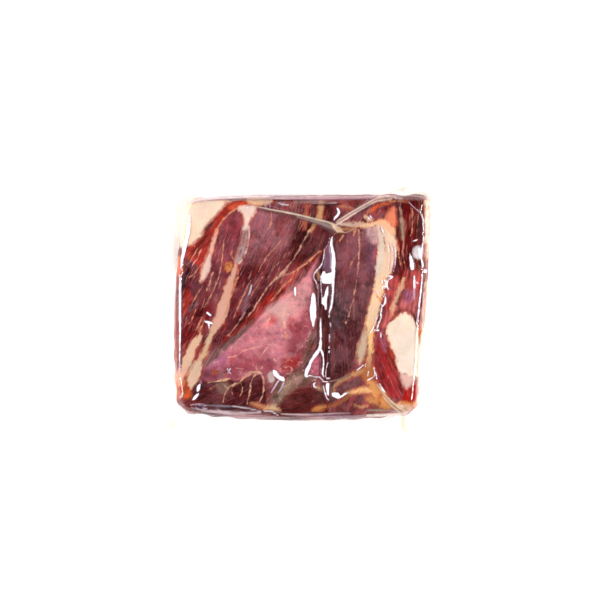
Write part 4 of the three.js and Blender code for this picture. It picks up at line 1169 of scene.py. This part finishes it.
def lay_clouds_and_painted_light(piece, layers):
    """Lays clouds, and the painted highlights, reflections and shade among them, over a panel, each with its
    tone, and keeps how thick they are together.
    """
    cloud = np.zeros(len(piece.data.vertices))
    cloud_tones = np.tile(paint(*GLINT_TONE), (len(cloud), 1))
    for tone, cover in layers:
        left = cloud * (1 - cover)
        total = np.maximum(cover + left, 1e-6)
        cloud_tones = (paint(*tone) * cover[:, None] + cloud_tones * left[:, None]) / total[:, None]
        cloud = cover + left
    keep(piece, "cloud", cloud)
    keep(piece, "cloud_tone", cloud_tones)


def wall_haze(piece):
    """How thick the milky streaks on the side walls are."""
    places = places_of(piece)
    upright = ease((np.abs(ways_of(piece)[:, 1]) - HAZE_START) / HAZE_RISE)
    streaks = np.array([noise.noise(Vector(place)) for place in places / HAZE_SIZE])
    thick = HAZE_THICK[0] + HAZE_THICK[1] * ease((places[:, 2] - HAZE_FOOT) / HAZE_FADE)
    return upright * ease(streaks * 1.6 + 0.4) * thick


places = places_of(front_panel)
flat_seen = as_seen(places)
on_face = ease((places[:, 2] - FACE_EDGE) / 4)
channel_depth = depth_in([(x, y, 2 * CHANNEL_HALF) for x, y in CHANNEL], places[:, :2])
off_channel = np.maximum(CHANNEL_HALF - channel_depth, 0) / CHANNEL_HALF
lift = BRIDGE * np.exp(-(off_channel ** 2)) * on_face


def crest(depth, shoulder, high):
    """How high a crease of a height stands at each depth in it."""
    beyond = np.minimum(depth + shoulder, 0)
    return high * np.exp(-((beyond / CREST) ** 2) / 2)


crease_lift = np.zeros(len(places))
# The painted glints: how deep each place lies in the nearest glint shape, which the film's finish paints
# white.
glint = np.full(len(places), FAR)
for shape in PAINTED_GLINTS:
    depth = depth_in(shape, flat_seen)
    glint = np.maximum(glint, depth)
    crease_lift = np.maximum(crease_lift, crest(depth, GLINT_SHOULDER, GLINT_HEIGHT))
for high, line in FOLDS:
    crease_lift = np.maximum(crease_lift, crest(depth_in(line, flat_seen), FOLD_SHOULDER, high))
layers = [(HAZE_TONE, wall_haze(front_panel))]
fading = ease((places[:, 2] - CLOUD_FOOT) / CLOUD_FADE)
for tone, thick, soft, shape in CLOUDS_AND_PAINTED_LIGHT:
    layers.append((tone, cover_of(shape, flat_seen, soft) * thick * fading))
lay_clouds_and_painted_light(front_panel, layers)
keep(front_panel, "glint", np.clip(glint, -1, 1) + 1)
move_out(front_panel, SLACK + lift + crease_lift * on_face)

lay_clouds_and_painted_light(back_panel, [(HAZE_TONE, wall_haze(back_panel))])
move_out(back_panel, SLACK)


def film_finish():
    """Clear glossy film, milky where fat or a crease clouds it, with painted highlights, reflections and
    shade among the clouds, and painted white glints with a painted lilac halo.
    """
    finish = Finish("clear_film")

    def laid(amount, under, over):
        """One shader laid over another."""
        return finish.node("ShaderNodeMixShader", {}, {0: amount, 1: under, 2: over}).out()

    place = finish.node("ShaderNodeTexCoord").out("Object")
    cover = finish.attribute("cloud", "Fac")
    ripple = finish.noise(place, 300.0, 2.0)
    wide = finish.noise(place, 45.0, 2.0)
    bump = finish.node(
        "ShaderNodeBump", {}, {"Strength": 0.5, "Distance": 0.0005, "Height": ripple * 0.3 + wide}
    ).out()
    clear = finish.node("ShaderNodeBsdfTransparent", {}, {"Color": (0.985, 0.975, 0.97, 1)}).out()
    gloss = finish.node(
        "ShaderNodeBsdfAnisotropic", {}, {"Color": (1, 1, 1, 1), "Roughness": 0.07, "Normal": bump}
    ).out()
    outside = 1.0 - finish.node("ShaderNodeNewGeometry").out("Backfacing")
    edge = finish.node("ShaderNodeFresnel", {}, {"IOR": 1.5, "Normal": bump}).out() * outside
    sheen = (edge * 1.2).maths("MINIMUM", 0.045)
    film = laid(sheen, clear, gloss)
    # The clouds' tones are milky fat, together with the highlights, reflections and shade painted on the
    # film.
    milk_and_painted_light = finish.node(
        "ShaderNodeBsdfPrincipled", {},
        {"Base Color": finish.attribute("cloud_tone"), "Roughness": 0.25, "Normal": bump},
    ).out()
    film = laid(cover * (0.6 + ripple * 0.8), film, milk_and_painted_light)
    # A painted highlight: the glints are painted white, with a little glow of their own.
    painted_glint_white = finish.node(
        "ShaderNodeBsdfPrincipled", {},
        {
            "Base Color": dye(*GLINT_TONE),
            "Roughness": 0.15,
            "Emission Color": (1, 1, 1, 1),
            "Emission Strength": 0.35,
        },
    ).out()
    crisp = finish.noise(place, 700.0, 2.0)
    painted_glint_depth = finish.attribute("glint", "Fac") + (crisp - 0.5) * 0.5 + (ripple - 0.5) * 0.9
    # A painted lilac halo round each painted glint.
    painted_glint_halo = finish.node(
        "ShaderNodeBsdfPrincipled", {},
        {"Base Color": dye(*PAINTED_HALO_TONE), "Roughness": 0.25, "Normal": bump},
    ).out()
    film = laid(painted_glint_depth.rise(0.6, 1.0) * 0.45, film, painted_glint_halo)
    return finish.surface(laid(painted_glint_depth.rise(0.85, 1.5), film, painted_glint_white))


clear_film = film_finish()
for panel in (front_panel, back_panel):
    panel.data.materials.clear()
    panel.data.materials.append(clear_film)
    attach(panel, "root")
    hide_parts("vacuum_pack")


# THE BAG'S RIM
# Half-way down the side wall the bag's two panels lie on each other as a narrow limp band, sealed
# together, and at each corner the spare film is drawn out into a wrinkled ear.

RIM_STEPS = 960
RIM_BANDS = 14
RIM_HEIGHT = 25        # where the band leaves the block
RIM_ROOT = 0.4         # it starts this far inside the film of the side wall
RIM_WIDTH = 3.2        # its width between the ears
CLEAR = 0.5            # so far out from the side wall only the band is met from above and below
FILM_THICKNESS = 0.15
WRINKLES = 26          # per radian
FINE_WRINKLES = 2.3    # times as many that are half as deep
WRINKLE_DEPTH = (0.12, 0.9)    # along the sides, and near an ear's tip
EAR_REACH = 20         # an ear this much longer than the band wrinkles the most
ABOVE = 100            # upright lines start this high above the pack, or this far below it
BELOW = -10
FIND_STEPS = (1, 0.25, 0.06)   # the band's end is felt for in ever finer steps
RIM_TONE = (240, 230, 222)
RIM_MILK = 0.1         # two panels on each other are a little less clear than one

# Cloudy parts of the band: tone, how thick the cloud is, softness, and outline or line with widths.
RIM_CLOUDS = [
    ((238, 208, 216), 0.5, 1.0, [(-64, 62.5, 3), (-40, 64.6, 3), (0, 65, 3), (46, 65, 3)]),
    ((242, 218, 224), 0.5, 1.0, [(-66, -61, 2), (-40, -64, 3), (0, -65, 3), (40, -65.6, 3), (60, -64, 2)]),
    ((255, 250, 238), 0.4, 2.0, [(-77, 24), (-70, 24), (-66, 52), (-62, 62), (-63, 68), (-72, 66),
                                 (-77, 56)]),
    ((255, 232, 200), 0.35, 2.5, [(70, 30), (75, 34), (77, 60), (74, 68), (66, 67), (62, 63), (70, 58)]),
    ((252, 234, 196), 0.2, 1.2, [(54, 73), (61, 72.6), (62, 67), (58, 69)]),
    ((252, 236, 214), 0.25, 0.6, [(47, 66, 1), (55, 68.4, 1.2), (63, 70.5, 1)]),
    ((252, 238, 196), 0.4, 2.0, [(-87, -79), (-80, -77), (-74, -70), (-80, -71)]),
    ((252, 236, 190), 0.5, 1.2, [(61, -66, 2), (61, -72, 3), (63.4, -77.5, 2)]),
    ((252, 240, 214), 0.4, 0.8, [(47, -70, 1), (53, -67, 1.2), (60, -63, 1.4)]),
    ((252, 240, 214), 0.4, 0.8, [(62, -62, 1.2), (67, -67, 1.2), (70, -73, 1), (70.6, -82, 1)]),
]

bpy.ops.object.select_all(action="DESELECT")
bpy.ops.mesh.primitive_circle_add(vertices=RIM_STEPS, radius=1, location=(0, 0, 0), enter_editmode=True)
for band in range(RIM_BANDS):
    bpy.ops.mesh.extrude_edges_move(TRANSFORM_OT_translate={"value": (0, 0, 1)})
bpy.ops.object.mode_set(mode="OBJECT")
bag_rim = bpy.context.object
bag_rim.name = "bag_rim"


def met(x, y, from_height, way):
    """Where an upright line first meets the pack, or None where it passes by."""
    return pack_tree.ray_cast(Vector((x, y, from_height)), Vector((0, 0, way)))[0]


def band_ends(angle):
    """How far from the middle the band leaves the block and ends, along one level line."""
    way = (math.cos(angle), math.sin(angle))
    root = float(np.hypot(*rim_free((0, 0, RIM_HEIGHT), (*way, 0))[:2]))
    end = root + CLEAR
    for step in FIND_STEPS:
        while met((end + step) * way[0], (end + step) * way[1], ABOVE, -1):
            end += step
    return root, end


ends = {}
band_places = []
for x, y, band in places_of(bag_rim) * MM:
    angle = round(math.atan2(y, x), 5)
    if angle not in ends:
        ends[angle] = band_ends(angle)
    root, end = ends[angle]
    out = band / RIM_BANDS
    far = root - RIM_ROOT + (end - root + RIM_ROOT) * out
    way = np.array([math.cos(angle), math.sin(angle)])
    tested = way * min(max(far, root + CLEAR), end)
    height = (met(*tested, ABOVE, -1).z + met(*tested, BELOW, 1).z) / 2
    ear = min(max((end - root - RIM_WIDTH) / EAR_REACH, 0), 1)
    fold = noise.noise(Vector((*(way * WRINKLES), out * (1 + 2 * ear))))
    fold += 0.5 * noise.noise(Vector((*(way * WRINKLES * FINE_WRINKLES), out * 3 + 7)))
    depth = WRINKLE_DEPTH[0] + (WRINKLE_DEPTH[1] - WRINKLE_DEPTH[0]) * ear
    band_places.append([*(way * far), height + fold * depth * out])
band_places = np.array(band_places)
move_to(bag_rim, band_places)

bpy.ops.object.mode_set(mode="EDIT")
bpy.ops.mesh.select_all(action="SELECT")
bpy.ops.mesh.normals_make_consistent(inside=False)
bpy.ops.object.mode_set(mode="OBJECT")
layers = [(RIM_TONE, np.full(len(band_places), RIM_MILK))]
for tone, thick, soft, shape in RIM_CLOUDS:
    layers.append((tone, cover_of(shape, band_places[:, :2], soft) * thick))
lay_clouds_and_painted_light(bag_rim, layers)
bpy.ops.object.modifier_add(type="SOLIDIFY")
bag_rim.modifiers[-1].thickness = FILM_THICKNESS * MM
bag_rim.modifiers[-1].offset = 0
bpy.ops.object.modifier_apply(modifier=bag_rim.modifiers[-1].name)
bpy.ops.object.shade_smooth()
bag_rim.data.materials.append(clear_film)
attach(bag_rim, "root")
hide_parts("vacuum_pack")


# THE TABLE, THE LIGHT AND THE CAMERA
# A white table fills the picture. Two tall soft boxes stand low at the left and the right, so that
# only the rounded edges and the creases mirror them, and the room's own light fills the rest. Most
# of the bright glints on the face are painted on the film.

TABLE_SIZE = 4
TABLE_GLOW = 0.7       # the white is as bright as the picture can show
BOX_AWAY = 0.9
BOX_LENGTH = 0.7
BOX_POWER = 5.3
ROOM_LIGHT = 0.5
LENS = 85
SENSOR = 36
PICTURE = 0.348        # the width of the picture at the cut face
FACE_HEIGHT = 0.055

bpy.ops.object.select_all(action="DESELECT")
bpy.ops.mesh.primitive_plane_add(size=TABLE_SIZE, location=(0, 0, 0))
table = bpy.context.object
table.name = "table"
white = Finish("white_table")
top = white.node(
    "ShaderNodeBsdfPrincipled", {},
    {
        "Base Color": (0.92, 0.92, 0.92, 1),
        "Roughness": 0.7,
        "Emission Color": (1, 1, 1, 1),
        "Emission Strength": TABLE_GLOW,
    },
)
table.data.materials.append(white.surface(top.out()))

for side, elevation, width in ((-1, 30, 0.06), (1, 36, 0.05)):
    rise = math.radians(elevation)
    place = (side * BOX_AWAY * math.cos(rise), 0, BOX_AWAY * math.sin(rise))
    bpy.ops.object.light_add(type="AREA", location=place)
    box = bpy.context.object
    box.name = f"soft_box_{side}"
    box.rotation_euler = Vector(place).to_track_quat("Z", "Y").to_euler()
    box.data.shape = "RECTANGLE"
    box.data.size = BOX_LENGTH
    box.data.size_y = width
    box.data.energy = BOX_POWER

world = bpy.data.worlds.new("room")
bpy.context.scene.world = world
world.use_nodes = True
background = world.node_tree.nodes["Background"]
background.inputs[0].default_value = (1, 1, 1, 1)
background.inputs[1].default_value = ROOM_LIGHT
world.cycles_visibility.glossy = False

height = FACE_HEIGHT + PICTURE * LENS / SENSOR
bpy.ops.object.camera_add(location=(EYE[0] * MM, EYE[1] * MM, height), rotation=(0, 0, 0))
camera = bpy.context.object
camera.data.lens = LENS
camera.data.sensor_width = SENSOR
bpy.context.scene.camera = camera
bpy.context.scene.view_settings.view_transform = "Standard"
